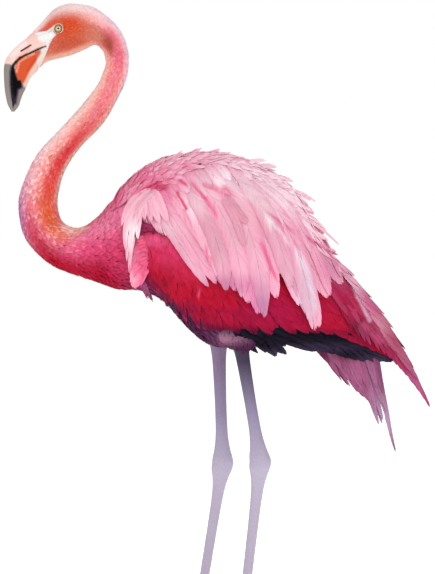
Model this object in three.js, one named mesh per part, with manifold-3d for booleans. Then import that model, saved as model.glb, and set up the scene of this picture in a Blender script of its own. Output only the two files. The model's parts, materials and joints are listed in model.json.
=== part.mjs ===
// A Caribbean flamingo, life size, standing in mid stride with its neck in an S.
// Millimetres, +Z up. The bird faces -X, its left side is -Y, and it stands on Z = 0.
// The origin lies on the floor below the middle of the bird's length.
//
// Head, neck and trunk are one hull, drawn as a boat is: each station has a point on the back,
// a point on the belly and a half width. The folded wings and the long drooping feathers are two
// wider hulls round the first, cut to the outline of the feathers they stand for.
import * as THREE from "three";
import { mergeVertices } from "three/addons/utils/BufferGeometryUtils.js";
import Module from "manifold-3d";

const wasm = await Module();
wasm.setup();

// ---------------------------------------------------------------- driving dimensions

const GAP = 0.35; // air left between neighbours that touch
const MIDLINE = 0.2; // each side's feathers stop this far from the middle of the bird
const TRIM = 0.06; // a facet flatter than this is merged with the next

// One station per row: back x, back z, belly x, belly z, half width.
const HEAD = [
  [-268, 933, -259, 880, 14],
  [-254, 948, -249, 889, 17.5],
  [-238, 965, -231, 894, 21.5],
  [-220, 973, -212, 899, 23.5],
  [-202, 973, -193, 907, 23],
  [-181, 969, -181, 913, 20.5],
  [-164, 958, -174, 912, 18.5],
  [-149, 945, -170, 908, 17.5],
  [-137, 927, -166, 903, 17],
];
const NECK = [
  [-130, 906, -164, 895, 16.5],
  [-129, 889, -163, 886, 16],
  [-132, 866, -167, 874, 16],
  [-143, 840, -175, 856, 16.5],
  [-166, 800, -199, 825, 17.5],
  [-200, 764, -229, 792, 19],
  [-221, 732, -262, 756, 21],
  [-230, 703, -282, 716, 23.5],
  [-232, 682, -290, 683, 26],
  [-228, 663, -284, 642, 28],
  [-220, 654, -268, 616, 30],
  [-207, 649, -241, 593, 33],
  [-191, 653, -207, 579, 38],
  [-173, 667, -174, 568, 45],
];
const TRUNK = [
  [-158, 685, -145, 558, 52],
  [-141, 699, -116, 547, 59],
  [-113, 716, -84, 529, 66],
  [-72, 730, -48, 503, 72],
  [-26, 736, -12, 481, 75],
  [20, 725, 26, 473, 72],
  [64, 700, 64, 475, 64],
  [104, 667, 102, 481, 52],
  [141, 622, 136, 486, 37],
  [174, 572, 165, 482, 22],
  [190, 530, 182, 482, 12],
];
// The trunk with both wings folded on it, and the same with the long feathers of the back on top.
const WINGS_ON = [
  [-141, 699, -116, 547, 59.5],
  [-113, 720, -84, 526, 73],
  [-72, 735, -48, 502, 83],
  [-26, 740, -12, 480, 87],
  [20, 729, 26, 460, 85],
  [64, 709, 64, 456, 77],
  [104, 682, 102, 458, 65],
  [145, 640, 136, 454, 50],
  [184, 588, 170, 448, 34],
  [218, 542, 203, 444, 22],
  [246, 500, 235, 440, 14],
  [268, 463, 262, 436, 7],
];
const FEATHERS_ON = [
  [-160, 687, -143, 572, 54],
  [-141, 711, -121, 552, 65],
  [-110, 738, -92, 527, 77],
  [-75, 754, -58, 502, 87],
  [-40, 760, -19, 478, 93],
  [0, 760, 26, 455, 94],
  [46, 749, 64, 450, 89],
  [97, 721, 104, 448, 77],
  [136, 693, 141, 446, 62],
  [168, 631, 174, 444, 47],
  [207, 574, 209, 430, 34],
  [242, 528, 241, 415, 24],
  [270, 480, 267, 405, 16],
  [290, 441, 284, 396, 9],
  [309, 392, 302, 388, 3],
];
const BODY_SQUARENESS = 2.15; // 2 is an ellipse, more is squarer
const HEAD_SQUARENESS = 2.25;
const BODY_SIDES = 20;
const NECK_SIDES = 16;

// Where the hull is parted, counted in stations from the bill's base.
const PART_HEAD = 8;
const PART_NECK_MIDDLE = 13;
const PART_NECK_LOWER = 17;
const PART_TRUNK = 21;

// The bill: culmen x, z, chin x, z, half width, and how far down the mouth's line runs.
const BILL = [
  [-269, 931.5, -260, 881, 13.5, 0.47],
  [-279, 922, -262, 876, 13.6, 0.42],
  [-290, 913, -267, 871, 13.6, 0.385],
  [-300, 903, -271, 867, 13.4, 0.38],
  [-307, 893, -274, 862, 13, 0.37],
  [-310, 881, -276, 857, 12.3, 0.36],
  [-310, 866, -279, 850, 11.2, 0.375],
  [-309, 850, -283, 842, 9.8, 0.415],
  [-307, 837, -286, 834, 8.2, 0.465],
  [-304, 826, -289, 825, 6, 0.5],
  [-299, 817, -295, 817, 1.5, 0.5],
];
const MOUTH_SLIT = 0.9;

const EYE = { x: -231, z: 937.5, y: 17.2, radius: 6.3 };

// The crimson fore part of the folded wing, from the wrist along its top edge and back below.
const WING_TOP = [
  [-123, 621], [-112, 634], [-97, 638], [-79, 637], [-58, 626], [-19, 609],
  [32, 595], [90, 599], [148, 580], [191, 544], [228, 507], [252, 471],
];
// The edge between the coverts and the dark flight feathers, from the tail end forwards.
const FLIGHT_TOP = [
  [257, 461], [220, 478], [202, 489], [181, 500], [154, 503], [122, 495], [61, 500], [28, 506],
];
const WING_FORE_EDGE = [
  [10, 493], [-7, 489], [-26, 499], [-48, 518], [-77, 545], [-99, 567],
  [-107, 588], [-112, 584], [-115, 571], [-122, 567], [-127, 580], [-125, 601],
];
const FLIGHT_BELOW = [
  [46, 484], [64, 471], [74, 462], [84, 465], [104, 479],
  [122, 474], [148, 470], [190, 455], [213, 449], [236, 455], [256, 448],
];

// The feathers of the back, from the shoulder down its front edge, back below and home on top.
const MANTLE = [
  [-153, 702], [-147, 662], [-139, 625], [-128, 567], [-118, 592], [-110, 635], [-70, 645],
  [0, 640], [80, 610], [150, 590], [190, 597], [174, 629], [135, 672], [138, 693], [112, 712],
  [60, 765], [-60, 775],
];
// Long feathers of one side: root x, z, tip x, z, width, and how sharply the tip narrows.
const BLUNT = 0.5;
const SHARP = 1.6;
const SCAPULARS = [
  [-90, 690, -75, 624, 46, BLUNT],
  [-70, 690, -42, 604, 50, BLUNT],
  [-45, 690, -10, 577, 50, BLUNT],
  [-15, 690, 9, 557, 36, BLUNT],
  [10, 690, 34, 552, 34, BLUNT],
  [30, 690, 72, 516, 38, BLUNT],
  [50, 690, 90, 558, 32, BLUNT],
  [80, 680, 141, 496, 34, BLUNT],
  [100, 665, 164, 549, 30, BLUNT],
  [120, 650, 181, 574, 26, BLUNT],
];
const PLUMES = [
  [150, 640, 228, 512, 40, BLUNT],
  [165, 620, 245, 474, 40, SHARP],
  [185, 590, 262, 457, 40, SHARP],
  [200, 575, 286, 425, 34, SHARP],
  [215, 555, 309, 391, 30, SHARP],
];
// The tail hangs below the wing tips. Its hull, with the front edge as the belly, and its blades.
const TAIL_HULL = [
  [246, 486, 148, 484, 22],
  [244, 450, 158, 446, 25],
  [245, 425, 180, 420, 23],
  [249, 400, 203, 395, 18],
  [253, 372, 222, 368, 12],
  [257, 345, 238, 342, 7],
  [260, 321, 256, 320, 2],
];
const TAIL = [
  [160, 490, 182, 424, 42, SHARP],
  [176, 490, 205, 407, 34, SHARP],
  [184, 490, 223, 392, 34, SHARP],
  [194, 490, 234, 357, 32, SHARP],
  [206, 490, 243, 396, 36, SHARP],
  [222, 486, 258, 322, 30, SHARP],
];

// One leg: knee, ankle and toe joint as x, z, with the distance from the bird's middle there.
const LEFT_LEG = { knee: [28, 505], ankle: [61, 312], toes: [27, 17], hipY: 36, footY: 45 };
const RIGHT_LEG = { knee: [0, 505], ankle: [7, 305], toes: [-40, 15], hipY: 36, footY: 45 };
const THIGH_LENGTH = 42; // the feathered stretch below the knee
// Distance from the ankle, half depth, half width: shank above it, then tarsus below.
const SHANK = [
  [-196, 25, 22], [-172, 20, 17], [-152, 12, 10], [-143, 10, 8.6], [-110, 9, 7.4],
  [-75, 8.6, 6.8], [-42, 9.2, 7], [-22, 11.6, 8.6], [-8, 14.8, 10.2], [0, 15.8, 10.6],
];
const TARSUS = [
  [0, 15.8, 10.6], [10, 15, 10.2], [24, 11.4, 8.6], [45, 8.8, 6.8], [100, 7.6, 5.6],
  [240, 7, 5.4], [280, 7.6, 6.6], [297, 8.6, 8],
];
const LEG_SIDES = 12;

// A foot seen from above: angle from straight ahead in degrees and length, claw left out.
const TOES = { inner: [-27, 60], middle: [0, 76], outer: [25, 69], hind: [168, 15] };
const TOE_HALF_WIDTH = 4.6;
const HIND_TOE_SCALE = 0.62;
const WEB_THICKNESS = 1.6;
const WEB_LIFT = 0.4;
const WEB_REACH = 0.93; // how far along the toes the web goes
const CLAW = { length: 9, halfWidth: 2.3 };
const HEEL = { halfLength: 9.4, halfWidth: 8.4, halfHeight: 13, centreHeight: 8 };

// ---------------------------------------------------------------- colours

function finish(colour, roughness) {
  return new THREE.MeshStandardMaterial({ color: colour, roughness, metalness: 0 });
}
const MATERIALS = {
  coral: finish(0xe8785a, 0.9),
  neck: finish(0xe8687c, 0.9),
  rose: finish(0xd9466c, 0.9),
  pale: finish(0xf0bccb, 0.85),
  crimson: finish(0xc2183c, 0.85),
  plume: finish(0xb5507c, 0.85),
  black: finish(0x1c1626, 0.7),
  billPink: finish(0xf3c2b8, 0.45),
  billDark: finish(0x2a2128, 0.4),
  leg: finish(0x9486a0, 0.6),
  claw: finish(0x2d2830, 0.5),
  eye: finish(0xe9d9a0, 0.15),
};

// ---------------------------------------------------------------- solids and meshes

function solid(geometry) {
  const bare = geometry.index ? geometry.toNonIndexed() : geometry.clone();
  bare.deleteAttribute("normal");
  bare.deleteAttribute("uv");
  const merged = mergeVertices(bare, 1e-4);
  return new wasm.Manifold(
    new wasm.Mesh({
      numProp: 3,
      vertProperties: merged.attributes.position.array,
      triVerts: new Uint32Array(merged.index.array),
    }),
  );
}

function allOf(solids) {
  return solids.reduce((sum, next) => sum.add(next));
}

// The bodies of a solid, largest first, so that slivers left by a cut can be dropped.
function bodiesOf(made) {
  return made.decompose().sort((a, b) => b.volume() - a.volume());
}

function mirrored(made) {
  return made.mirror([0, 1, 0]);
}

function geometryOf(made) {
  const mesh = made.getMesh();
  const positions = new Float32Array(mesh.numVert * 3);
  for (let i = 0; i < mesh.numVert; i++) {
    positions.set(mesh.vertProperties.subarray(i * mesh.numProp, i * mesh.numProp + 3), i * 3);
  }
  const geometry = new THREE.BufferGeometry();
  geometry.setAttribute("position", new THREE.BufferAttribute(positions, 3));
  geometry.setIndex(new THREE.BufferAttribute(mesh.triVerts, 1));
  geometry.computeVertexNormals();
  return geometry;
}

const bird = new THREE.Group();

function addNode(name, made, material) {
  const mesh = new THREE.Mesh(geometryOf(bodiesOf(made)[0]), material);
  mesh.name = name;
  bird.add(mesh);
}

function addPair(name, leftSide, material) {
  addNode(name + "_left", leftSide, material);
  addNode(name + "_right", mirrored(leftSide), material);
}

// Rings of points, each closed round, skinned into one closed surface with flat ends. The second
// half of the way round is split the other way, so that the bird's sides are mirror images.
function skin(rings) {
  const sides = rings[0].length;
  const positions = rings.flat().flatMap((p) => [p.x, p.y, p.z]);
  const index = [];
  for (let r = 0; r + 1 < rings.length; r++) {
    for (let s = 0; s < sides; s++) {
      const a = r * sides + s;
      const b = r * sides + ((s + 1) % sides);
      if (s < sides / 2) index.push(a, a + sides, b, b, a + sides, b + sides);
      else index.push(a, a + sides, b + sides, a, b + sides, b);
    }
  }
  const lastRing = (rings.length - 1) * sides;
  for (let s = 1; s + 1 < sides; s++) {
    index.push(0, s, s + 1);
    index.push(lastRing, lastRing + s + 1, lastRing + s);
  }
  const geometry = new THREE.BufferGeometry();
  geometry.setAttribute("position", new THREE.Float32BufferAttribute(positions, 3));
  geometry.setIndex(index);
  const made = solid(geometry);
  if (made.volume() > 0) return made;
  geometry.setIndex(index.reverse());
  return solid(geometry);
}

function smooth(rows, at) {
  const curve = new THREE.CatmullRomCurve3(
    rows.map(([x, y, z]) => new THREE.Vector3(x, y, z)),
    false,
    "catmullrom",
    0.5,
  );
  return curve.getPoint(at);
}

// The hull through rows of stations. ring(t, sides, grow) is its section at station t.
class Hull {
  constructor(rows, squareness) {
    this.backs = rows.map(([x, z, , , halfWidth]) => [x, halfWidth, z]);
    this.bellies = rows.map(([, , x, z]) => [x, 0, z]);
    this.last = rows.length - 1;
    this.squareness = squareness;
  }
  section(t) {
    const back = smooth(this.backs, t / this.last);
    const belly = smooth(this.bellies, t / this.last);
    const halfWidth = back.y;
    back.y = 0;
    return { back, belly, halfWidth };
  }
  ring(t, sides, grow = 0) {
    const { back, belly, halfWidth } = this.section(t);
    const middle = back.clone().add(belly).multiplyScalar(0.5);
    const up = back.clone().sub(middle);
    up.multiplyScalar((up.length() + grow) / up.length());
    const power = 2 / this.squareness;
    const ring = [];
    for (let s = 0; s < sides; s++) {
      const angle = (2 * Math.PI * s) / sides;
      const high = Math.sign(Math.cos(angle)) * Math.abs(Math.cos(angle)) ** power;
      const wide = Math.sign(Math.sin(angle)) * Math.abs(Math.sin(angle)) ** power;
      const p = middle.clone().addScaledVector(up, high);
      p.y = (halfWidth + grow) * wide;
      ring.push(p);
    }
    return ring;
  }
  // The solid between two stations, short of the second by the gap. The rings between lie at the
  // whole stations, so a grown hull clears a plain one all the way.
  between(from, to, sides, grow = 0) {
    const stride = this.section(to).back.distanceTo(this.section(to - 0.05).back) / 0.05;
    const end = to < this.last ? to - GAP / stride : to;
    const stations = [from];
    for (let t = Math.floor(from) + 1; t < end; t++) stations.push(t);
    stations.push(end);
    return skin(stations.map((t) => this.ring(t, sides, grow)));
  }
  whole(grow = 0) {
    return this.between(0, this.last, BODY_SIDES, grow);
  }
}

// A plate of the outline given in x and z, from y0 to y1.
function plate(outline, y0, y1) {
  const shape = new THREE.Shape(outline.map(([x, z]) => new THREE.Vector2(x, z)));
  const geometry = new THREE.ExtrudeGeometry(shape, { depth: y1 - y0, bevelEnabled: false });
  geometry.rotateX(Math.PI / 2);
  geometry.translate(0, y1, 0);
  return solid(geometry);
}

// The outline of one vane: narrow at the root, then full, closing in at the tip.
function vaneOutline([rootX, rootZ, tipX, tipZ, width, sharpness], grow = 0) {
  const steps = 6;
  const along = new THREE.Vector2(tipX - rootX, tipZ - rootZ);
  const across = new THREE.Vector2(-along.y, along.x).normalize();
  const left = [];
  const right = [];
  for (let i = 0; i < steps; i++) {
    const share = i / steps;
    const swell = 0.55 + 0.45 * Math.sin(Math.min(share * 1.5, 1) * Math.PI * 0.5);
    const close = (1 - share ** 3) ** sharpness;
    const half = (width / 2) * swell * close + grow;
    const x = rootX + along.x * share;
    const z = rootZ + along.y * share;
    left.push([x + across.x * half, z + across.y * half]);
    right.unshift([x - across.x * half, z - across.y * half]);
  }
  return [...left, [tipX, tipZ], ...right];
}

// ---------------------------------------------------------------- head, neck and trunk

const body = new Hull([...HEAD, ...NECK, ...TRUNK], BODY_SQUARENESS);
const skull = new Hull([...HEAD, ...NECK], HEAD_SQUARENESS);

function eyeball(side, grow = 0) {
  const ball = new THREE.SphereGeometry(EYE.radius + grow, 10, 8);
  ball.translate(EYE.x, side * EYE.y, EYE.z);
  return solid(ball);
}

const sockets = eyeball(-1, GAP).add(eyeball(1, GAP));
addNode("head", skull.between(0, PART_HEAD, 20).subtract(sockets).simplify(TRIM), MATERIALS.coral);
addNode("neck_upper", body.between(PART_HEAD, PART_NECK_MIDDLE, NECK_SIDES), MATERIALS.neck);
addNode("neck_middle", body.between(PART_NECK_MIDDLE, PART_NECK_LOWER, NECK_SIDES), MATERIALS.neck);
addNode("neck_lower", body.between(PART_NECK_LOWER, PART_TRUNK, BODY_SIDES), MATERIALS.rose);
addNode("trunk", body.between(PART_TRUNK, body.last, BODY_SIDES), MATERIALS.rose);
addPair("eye", eyeball(-1), MATERIALS.eye);

// ---------------------------------------------------------------- bill

const bill = new Hull(BILL, HEAD_SQUARENESS);
const mouthLine = BILL.map(([topX, topZ, lowX, lowZ, , share]) => [
  topX + (lowX - topX) * share,
  topZ + (lowZ - topZ) * share,
]);
// The mouth's line runs on past both ends, so that the slit parts the bill clean through.
const mouthBehind = [mouthLine[0][0] + 6, mouthLine[0][1] + 2];
const mouthBefore = [mouthLine.at(-1)[0] + 2, mouthLine.at(-1)[1] - 6];
const slitLine = [mouthBehind, ...mouthLine, mouthBefore];
const slit = plate(
  [
    ...slitLine.map(([x, z]) => [x, z - MOUTH_SLIT / 2]),
    ...slitLine.map(([x, z]) => [x - MOUTH_SLIT * 0.6, z + MOUTH_SLIT / 2]).reverse(),
  ],
  -30,
  30,
);
const [upperBill, lowerBill] = bodiesOf(bill.between(0, bill.last, NECK_SIDES).subtract(slit))
  .slice(0, 2)
  .sort((a, b) => a.boundingBox().min[0] - b.boundingBox().min[0]);
addNode("bill_upper", upperBill.simplify(TRIM), MATERIALS.billPink);
addNode("bill_lower", lowerBill.simplify(TRIM), MATERIALS.billDark);

// ---------------------------------------------------------------- wings and long feathers

const WIDE = 140; // beyond the widest feather
const wingHull = new Hull(WINGS_ON, BODY_SQUARENESS);
const featherHull = new Hull(FEATHERS_ON, BODY_SQUARENESS).whole();
const trunkRoom = body.between(PART_TRUNK - 2, body.last, BODY_SIDES, GAP);
const wingRoom = wingHull.whole(GAP);

const wing = plate([...WING_TOP, ...FLIGHT_TOP.map(([x, z]) => [x, z + GAP]), ...WING_FORE_EDGE],
  -WIDE, -MIDLINE).intersect(wingHull.whole()).subtract(trunkRoom);
addPair("wing", wing.simplify(TRIM), MATERIALS.crimson);

const flightOutline = [...FLIGHT_TOP, ...FLIGHT_BELOW];
const flight = plate(flightOutline, -WIDE, -MIDLINE)
  .intersect(wingHull.whole())
  .subtract(trunkRoom);
addPair("flight_feathers", flight.simplify(TRIM), MATERIALS.black);

const plumeRoom = allOf(PLUMES.map((row) => plate(vaneOutline(row, GAP), -WIDE, 0)));
const plumes = allOf(PLUMES.map((row) => plate(vaneOutline(row), -WIDE, -MIDLINE)))
  .intersect(featherHull)
  .subtract(wingRoom)
  .subtract(trunkRoom);
addPair("plumes", plumes.simplify(TRIM), MATERIALS.plume);

const scapulars = allOf([
  plate(MANTLE, -WIDE, -MIDLINE),
  ...SCAPULARS.map((row) => plate(vaneOutline(row), -WIDE, -MIDLINE)),
])
  .intersect(featherHull)
  .subtract(wingRoom)
  .subtract(trunkRoom)
  .subtract(plumeRoom);
addPair("scapulars", scapulars.simplify(TRIM), MATERIALS.pale);

// ---------------------------------------------------------------- tail

const underFlight = flightOutline.map(([x, z]) => [x, z - 2 * GAP]);
const tail = allOf(TAIL.map((row) => plate(vaneOutline(row), -WIDE, WIDE)))
  .intersect(new Hull(TAIL_HULL, BODY_SQUARENESS).whole())
  .subtract(plate(flightOutline, -WIDE, WIDE).add(plate(underFlight, -WIDE, WIDE)))
  .subtract(trunkRoom)
  .subtract(wingRoom);
addNode("tail", tail.simplify(TRIM), MATERIALS.plume);

// ---------------------------------------------------------------- legs and feet

// A point on a leg's middle line, a distance above the ankle if negative, else below it.
function legPoint(leg, side, distance) {
  const ankle = new THREE.Vector3(leg.ankle[0], 0, leg.ankle[1]);
  const [endX, endZ] = distance < 0 ? leg.knee : leg.toes;
  const toEnd = new THREE.Vector3(endX, 0, endZ).sub(ankle).normalize();
  const p = ankle.addScaledVector(toEnd, Math.abs(distance));
  const down = (leg.knee[1] - p.z) / (leg.knee[1] - leg.toes[1]);
  p.y = side * THREE.MathUtils.lerp(leg.hipY, leg.footY, down);
  return p;
}

// Level rings down one stretch of leg.
function limb(leg, side, rows, steps) {
  const rings = [];
  for (let i = 0; i <= steps; i++) {
    const at = smooth(rows, i / steps);
    const middle = legPoint(leg, side, at.x);
    const ring = [];
    for (let s = 0; s < LEG_SIDES; s++) {
      const angle = (2 * Math.PI * s) / LEG_SIDES;
      const out = new THREE.Vector3(at.y * Math.cos(angle), at.z * Math.sin(angle), 0);
      ring.push(out.add(middle));
    }
    rings.push(ring);
  }
  return skin(rings);
}

function slab(z0, z1) {
  const box = new THREE.BoxGeometry(900, 500, z1 - z0);
  box.translate(0, 0, (z0 + z1) / 2);
  return solid(box);
}

// A rod lying flat on the floor along a heading, domed above. halfAt(share) is its half width.
function lyingRod(start, heading, length, steps, halfAt, tallness) {
  const arcPoints = 6;
  const ahead = new THREE.Vector3(-Math.cos(heading), Math.sin(heading), 0);
  const across = new THREE.Vector3(-Math.sin(heading), -Math.cos(heading), 0);
  const rings = [];
  for (let i = 0; i <= steps; i++) {
    const share = i / steps;
    const half = halfAt(share);
    const ring = [];
    for (let s = 0; s < arcPoints; s++) {
      const angle = (Math.PI * s) / (arcPoints - 1);
      const p = start.clone().addScaledVector(ahead, length * share);
      p.addScaledVector(across, half * Math.cos(angle));
      p.z = half * tallness * Math.sin(angle);
      ring.push(p);
    }
    rings.push(ring);
  }
  return skin(rings);
}

function onFloor(centre, heading, distance) {
  return new THREE.Vector3(
    centre.x - Math.cos(heading) * distance,
    centre.y + Math.sin(heading) * distance,
    0,
  );
}

// The web between the middle toe and another, with a hollowed front edge.
function web(centre, heading, length) {
  const a = onFloor(centre, 0, TOES.middle[1] * WEB_REACH);
  const b = onFloor(centre, heading, length * WEB_REACH);
  const sag = onFloor(centre, heading / 2, length * 0.72);
  const shape = new THREE.Shape();
  shape.moveTo(centre.x + 4, centre.y);
  shape.lineTo(a.x, a.y);
  shape.quadraticCurveTo(sag.x, sag.y, b.x, b.y);
  const geometry = new THREE.ExtrudeGeometry(shape, {
    depth: WEB_THICKNESS,
    bevelEnabled: false,
    curveSegments: 5,
  });
  geometry.translate(0, 0, WEB_LIFT);
  return solid(geometry);
}

function addFoot(name, centre, side, top) {
  const heel = new THREE.SphereGeometry(1, 12, 8);
  heel.scale(HEEL.halfLength, HEEL.halfWidth, HEEL.halfHeight);
  heel.translate(centre.x, centre.y, HEEL.centreHeight);
  const parts = [solid(heel).intersect(slab(0, top))];
  for (const [toeName, [degrees, length]] of Object.entries(TOES)) {
    const heading = THREE.MathUtils.degToRad(degrees) * side;
    const scale = toeName === "hind" ? HIND_TOE_SCALE : 1;
    const toeHalf = (share) => TOE_HALF_WIDTH * scale * (1 - 0.42 * share);
    parts.push(lyingRod(onFloor(centre, heading, 0), heading, length, 3, toeHalf, 1.8));
    if (toeName === "inner" || toeName === "outer") parts.push(web(centre, heading, length));
    const clawHalf = (share) => CLAW.halfWidth * (1 - 0.8 * share);
    const clawStart = onFloor(centre, heading, length + GAP);
    const claw = lyingRod(clawStart, heading, CLAW.length, 2, clawHalf, 1.7);
    addNode("claw_" + toeName + "_" + name, claw, MATERIALS.claw);
  }
  addNode("foot_" + name, allOf(parts).simplify(TRIM), MATERIALS.leg);
}

function addLeg(name, leg, side) {
  const thighEnd = leg.knee[1] - THIGH_LENGTH;
  const shank = limb(leg, side, SHANK, 14);
  const thigh = shank
    .intersect(slab(thighEnd + GAP, leg.knee[1] + 50))
    .subtract(trunkRoom)
    .subtract(wingRoom);
  addNode("thigh_" + name, thigh.simplify(TRIM), MATERIALS.rose);
  addNode("shank_" + name, shank.intersect(slab(leg.ankle[1] + GAP, thighEnd)), MATERIALS.leg);
  const tarsus = limb(leg, side, TARSUS, 12).intersect(slab(leg.toes[1] + GAP, leg.ankle[1]));
  addNode("tarsus_" + name, tarsus, MATERIALS.leg);
  addFoot(name, new THREE.Vector3(leg.toes[0], side * leg.footY, 0), side, leg.toes[1]);
}
addLeg("left", LEFT_LEG, -1);
addLeg("right", RIGHT_LEG, 1);

export default bird;
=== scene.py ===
# %% [markdown]
# # A flamingo, feather by feather
#
# The solids of this bird were made in a CAD program and packed: a head, a neck in three lengths,
# a trunk, wings, bill, legs. They have the right size, but no skin and no feathers. This lesson
# makes those in Blender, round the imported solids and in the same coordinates, in metres.
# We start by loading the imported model, which is never moved, and we keep its box, so that at
# the end we can see that the feathers haven't made the bird any larger.

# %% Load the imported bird
import json
import math

import bmesh
import bpy
import numpy as np
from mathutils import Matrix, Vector

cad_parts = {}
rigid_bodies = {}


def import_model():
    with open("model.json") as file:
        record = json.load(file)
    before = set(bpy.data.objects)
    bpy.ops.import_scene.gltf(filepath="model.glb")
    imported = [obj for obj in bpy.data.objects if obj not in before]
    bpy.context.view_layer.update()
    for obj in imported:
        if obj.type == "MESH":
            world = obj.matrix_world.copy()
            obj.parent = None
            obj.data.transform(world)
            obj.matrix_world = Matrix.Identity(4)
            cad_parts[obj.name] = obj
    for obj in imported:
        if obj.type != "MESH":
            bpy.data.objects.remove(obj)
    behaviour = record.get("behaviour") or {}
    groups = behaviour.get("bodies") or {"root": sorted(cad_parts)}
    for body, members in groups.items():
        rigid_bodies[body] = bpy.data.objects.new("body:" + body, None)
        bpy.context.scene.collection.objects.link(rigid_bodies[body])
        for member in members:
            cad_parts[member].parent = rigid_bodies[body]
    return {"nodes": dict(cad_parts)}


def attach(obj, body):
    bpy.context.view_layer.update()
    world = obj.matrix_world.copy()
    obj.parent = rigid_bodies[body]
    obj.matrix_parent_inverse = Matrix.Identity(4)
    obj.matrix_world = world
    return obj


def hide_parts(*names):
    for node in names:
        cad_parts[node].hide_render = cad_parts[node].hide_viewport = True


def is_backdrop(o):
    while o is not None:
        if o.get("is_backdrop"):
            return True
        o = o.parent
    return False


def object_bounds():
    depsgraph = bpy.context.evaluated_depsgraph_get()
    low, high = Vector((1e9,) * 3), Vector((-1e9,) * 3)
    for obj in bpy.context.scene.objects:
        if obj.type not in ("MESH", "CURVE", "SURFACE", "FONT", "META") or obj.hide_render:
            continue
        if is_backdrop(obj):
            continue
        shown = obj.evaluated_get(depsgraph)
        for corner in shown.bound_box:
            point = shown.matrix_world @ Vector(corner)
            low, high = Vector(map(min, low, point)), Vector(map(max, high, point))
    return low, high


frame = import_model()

MM = 0.001
SIDES = {"left": -1, "right": 1}  # the sign of y
cad_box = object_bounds()


def print_box(title, box):
    print(title, "from", [round(v, 3) for v in box[0]], "to", [round(v, 3) for v in box[1]])


def show(name, data):
    piece = bpy.data.objects.new(name, data)
    bpy.context.scene.collection.objects.link(piece)
    return piece


def tune(node, values):
    """Sets inputs of a shader node by their names."""
    for name, value in values.items():
        node.inputs[name].default_value = value


print("packed nodes:", len(frame["nodes"]))
print_box("CAD box", cad_box)

# %% [markdown]
# ## Camera, floor and light
#
# The bird faces -X and shows us its left side, which is -Y. The camera is level, at half the
# height of the picture, and far back, so that near and far parts keep almost the same scale.
# Blender measures the lens against the long side of the picture, which is the height here.
# The floor is a pale studio sheet: plain, so that nothing competes with the feathers.

# %% Camera
STAND_OFF = 4.5
PICTURE_HEIGHT = 0.8323
AIM = Vector((-0.0007, 0.0, 0.5626))
SENSOR = 36.0


def add_camera():
    data = bpy.data.cameras.new("camera")
    data.sensor_width = SENSOR
    data.lens = SENSOR * STAND_OFF / PICTURE_HEIGHT
    data.clip_end = 200
    camera = show("camera", data)
    camera.location = AIM + Vector((0, -STAND_OFF, 0))
    camera.rotation_euler = (math.pi / 2, 0, 0)
    bpy.context.scene.camera = camera
    return camera


camera = add_camera()
print("lens", round(camera.data.lens, 1), "mm")

# %% Floor
FLOOR_REACH = 60.0
WHITE, PAPER = (1, 1, 1, 1), (0.8, 0.8, 0.8, 1)
PAPER_GLOW = 0.68  # keeps the paper white far from the lamps


def add_floor():
    mesh = bpy.data.meshes.new("studio_floor")
    corners = [(x * FLOOR_REACH, y * FLOOR_REACH, 0) for x, y in ((-1, -1), (1, -1), (1, 1), (-1, 1))]
    mesh.from_pydata(corners, [], [(0, 1, 2, 3)])
    floor = show("studio_floor", mesh)
    paint = bpy.data.materials.new("studio_paper")
    paint.use_nodes = True
    tune(paint.node_tree.nodes["Principled BSDF"], {
        "Base Color": PAPER, "Roughness": 0.9, "Specular IOR Level": 0.0,
        "Emission Color": WHITE, "Emission Strength": PAPER_GLOW,
    })
    mesh.materials.append(paint)
    floor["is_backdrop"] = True


add_floor()

# %% Light
SKY_STRENGTH = 0.62
BACKDROP_STRENGTH = 1.0
SOFTBOXES = [  # name, place, target, width in metres, watts
    ("key", (1.1, -2.4, 2.9), (0, 0, 0.6), 2.6, 38),
    ("fill", (-2.2, -2.6, 1.4), (-0.1, 0, 0.6), 2.4, 14),
    ("back", (0.8, 2.6, 2.4), (0, 0, 0.6), 2.0, 32),
]


def add_sky():
    """A white room: soft light for the bird, and clean white paper behind it for the camera."""
    world = bpy.data.worlds.new("white_room")
    world.use_nodes = True
    nodes, links = world.node_tree.nodes, world.node_tree.links
    lamp = nodes["Background"]
    tune(lamp, {"Color": WHITE, "Strength": SKY_STRENGTH})
    paper = nodes.new("ShaderNodeBackground")
    tune(paper, {"Color": WHITE, "Strength": BACKDROP_STRENGTH})
    ray = nodes.new("ShaderNodeLightPath")
    choose = nodes.new("ShaderNodeMixShader")
    links.new(ray.outputs["Is Camera Ray"], choose.inputs[0])
    links.new(lamp.outputs[0], choose.inputs[1])
    links.new(paper.outputs[0], choose.inputs[2])
    links.new(choose.outputs[0], nodes["World Output"].inputs["Surface"])
    bpy.context.scene.world = world


def add_softbox(name, place, target, size, power):
    data = bpy.data.lights.new(name, "AREA")
    data.shape = "SQUARE"
    data.size = size
    data.energy = power
    lamp = show(name, data)
    lamp.location = place
    lamp.rotation_euler = (Vector(target) - Vector(place)).to_track_quat("-Z", "Y").to_euler()


add_sky()
for softbox in SOFTBOXES:
    add_softbox(*softbox)
bpy.context.scene.view_settings.view_transform = "Standard"

# %% [markdown]
# ## The body as one lofted form
#
# A neck that bends twice and swells into a breast is awkward to push into shape by hand. It is
# easy as a loft: a row of egg-shaped sections, each told by where its back and its belly are
# and how broad it is, with a smooth curve through the rows. A place on such a form has two
# numbers, how far along (from the bill to the tail) and how far round (nought on the back).
# Feathers need exactly that, since they lie along the body. All sizes here are millimetres.

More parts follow.
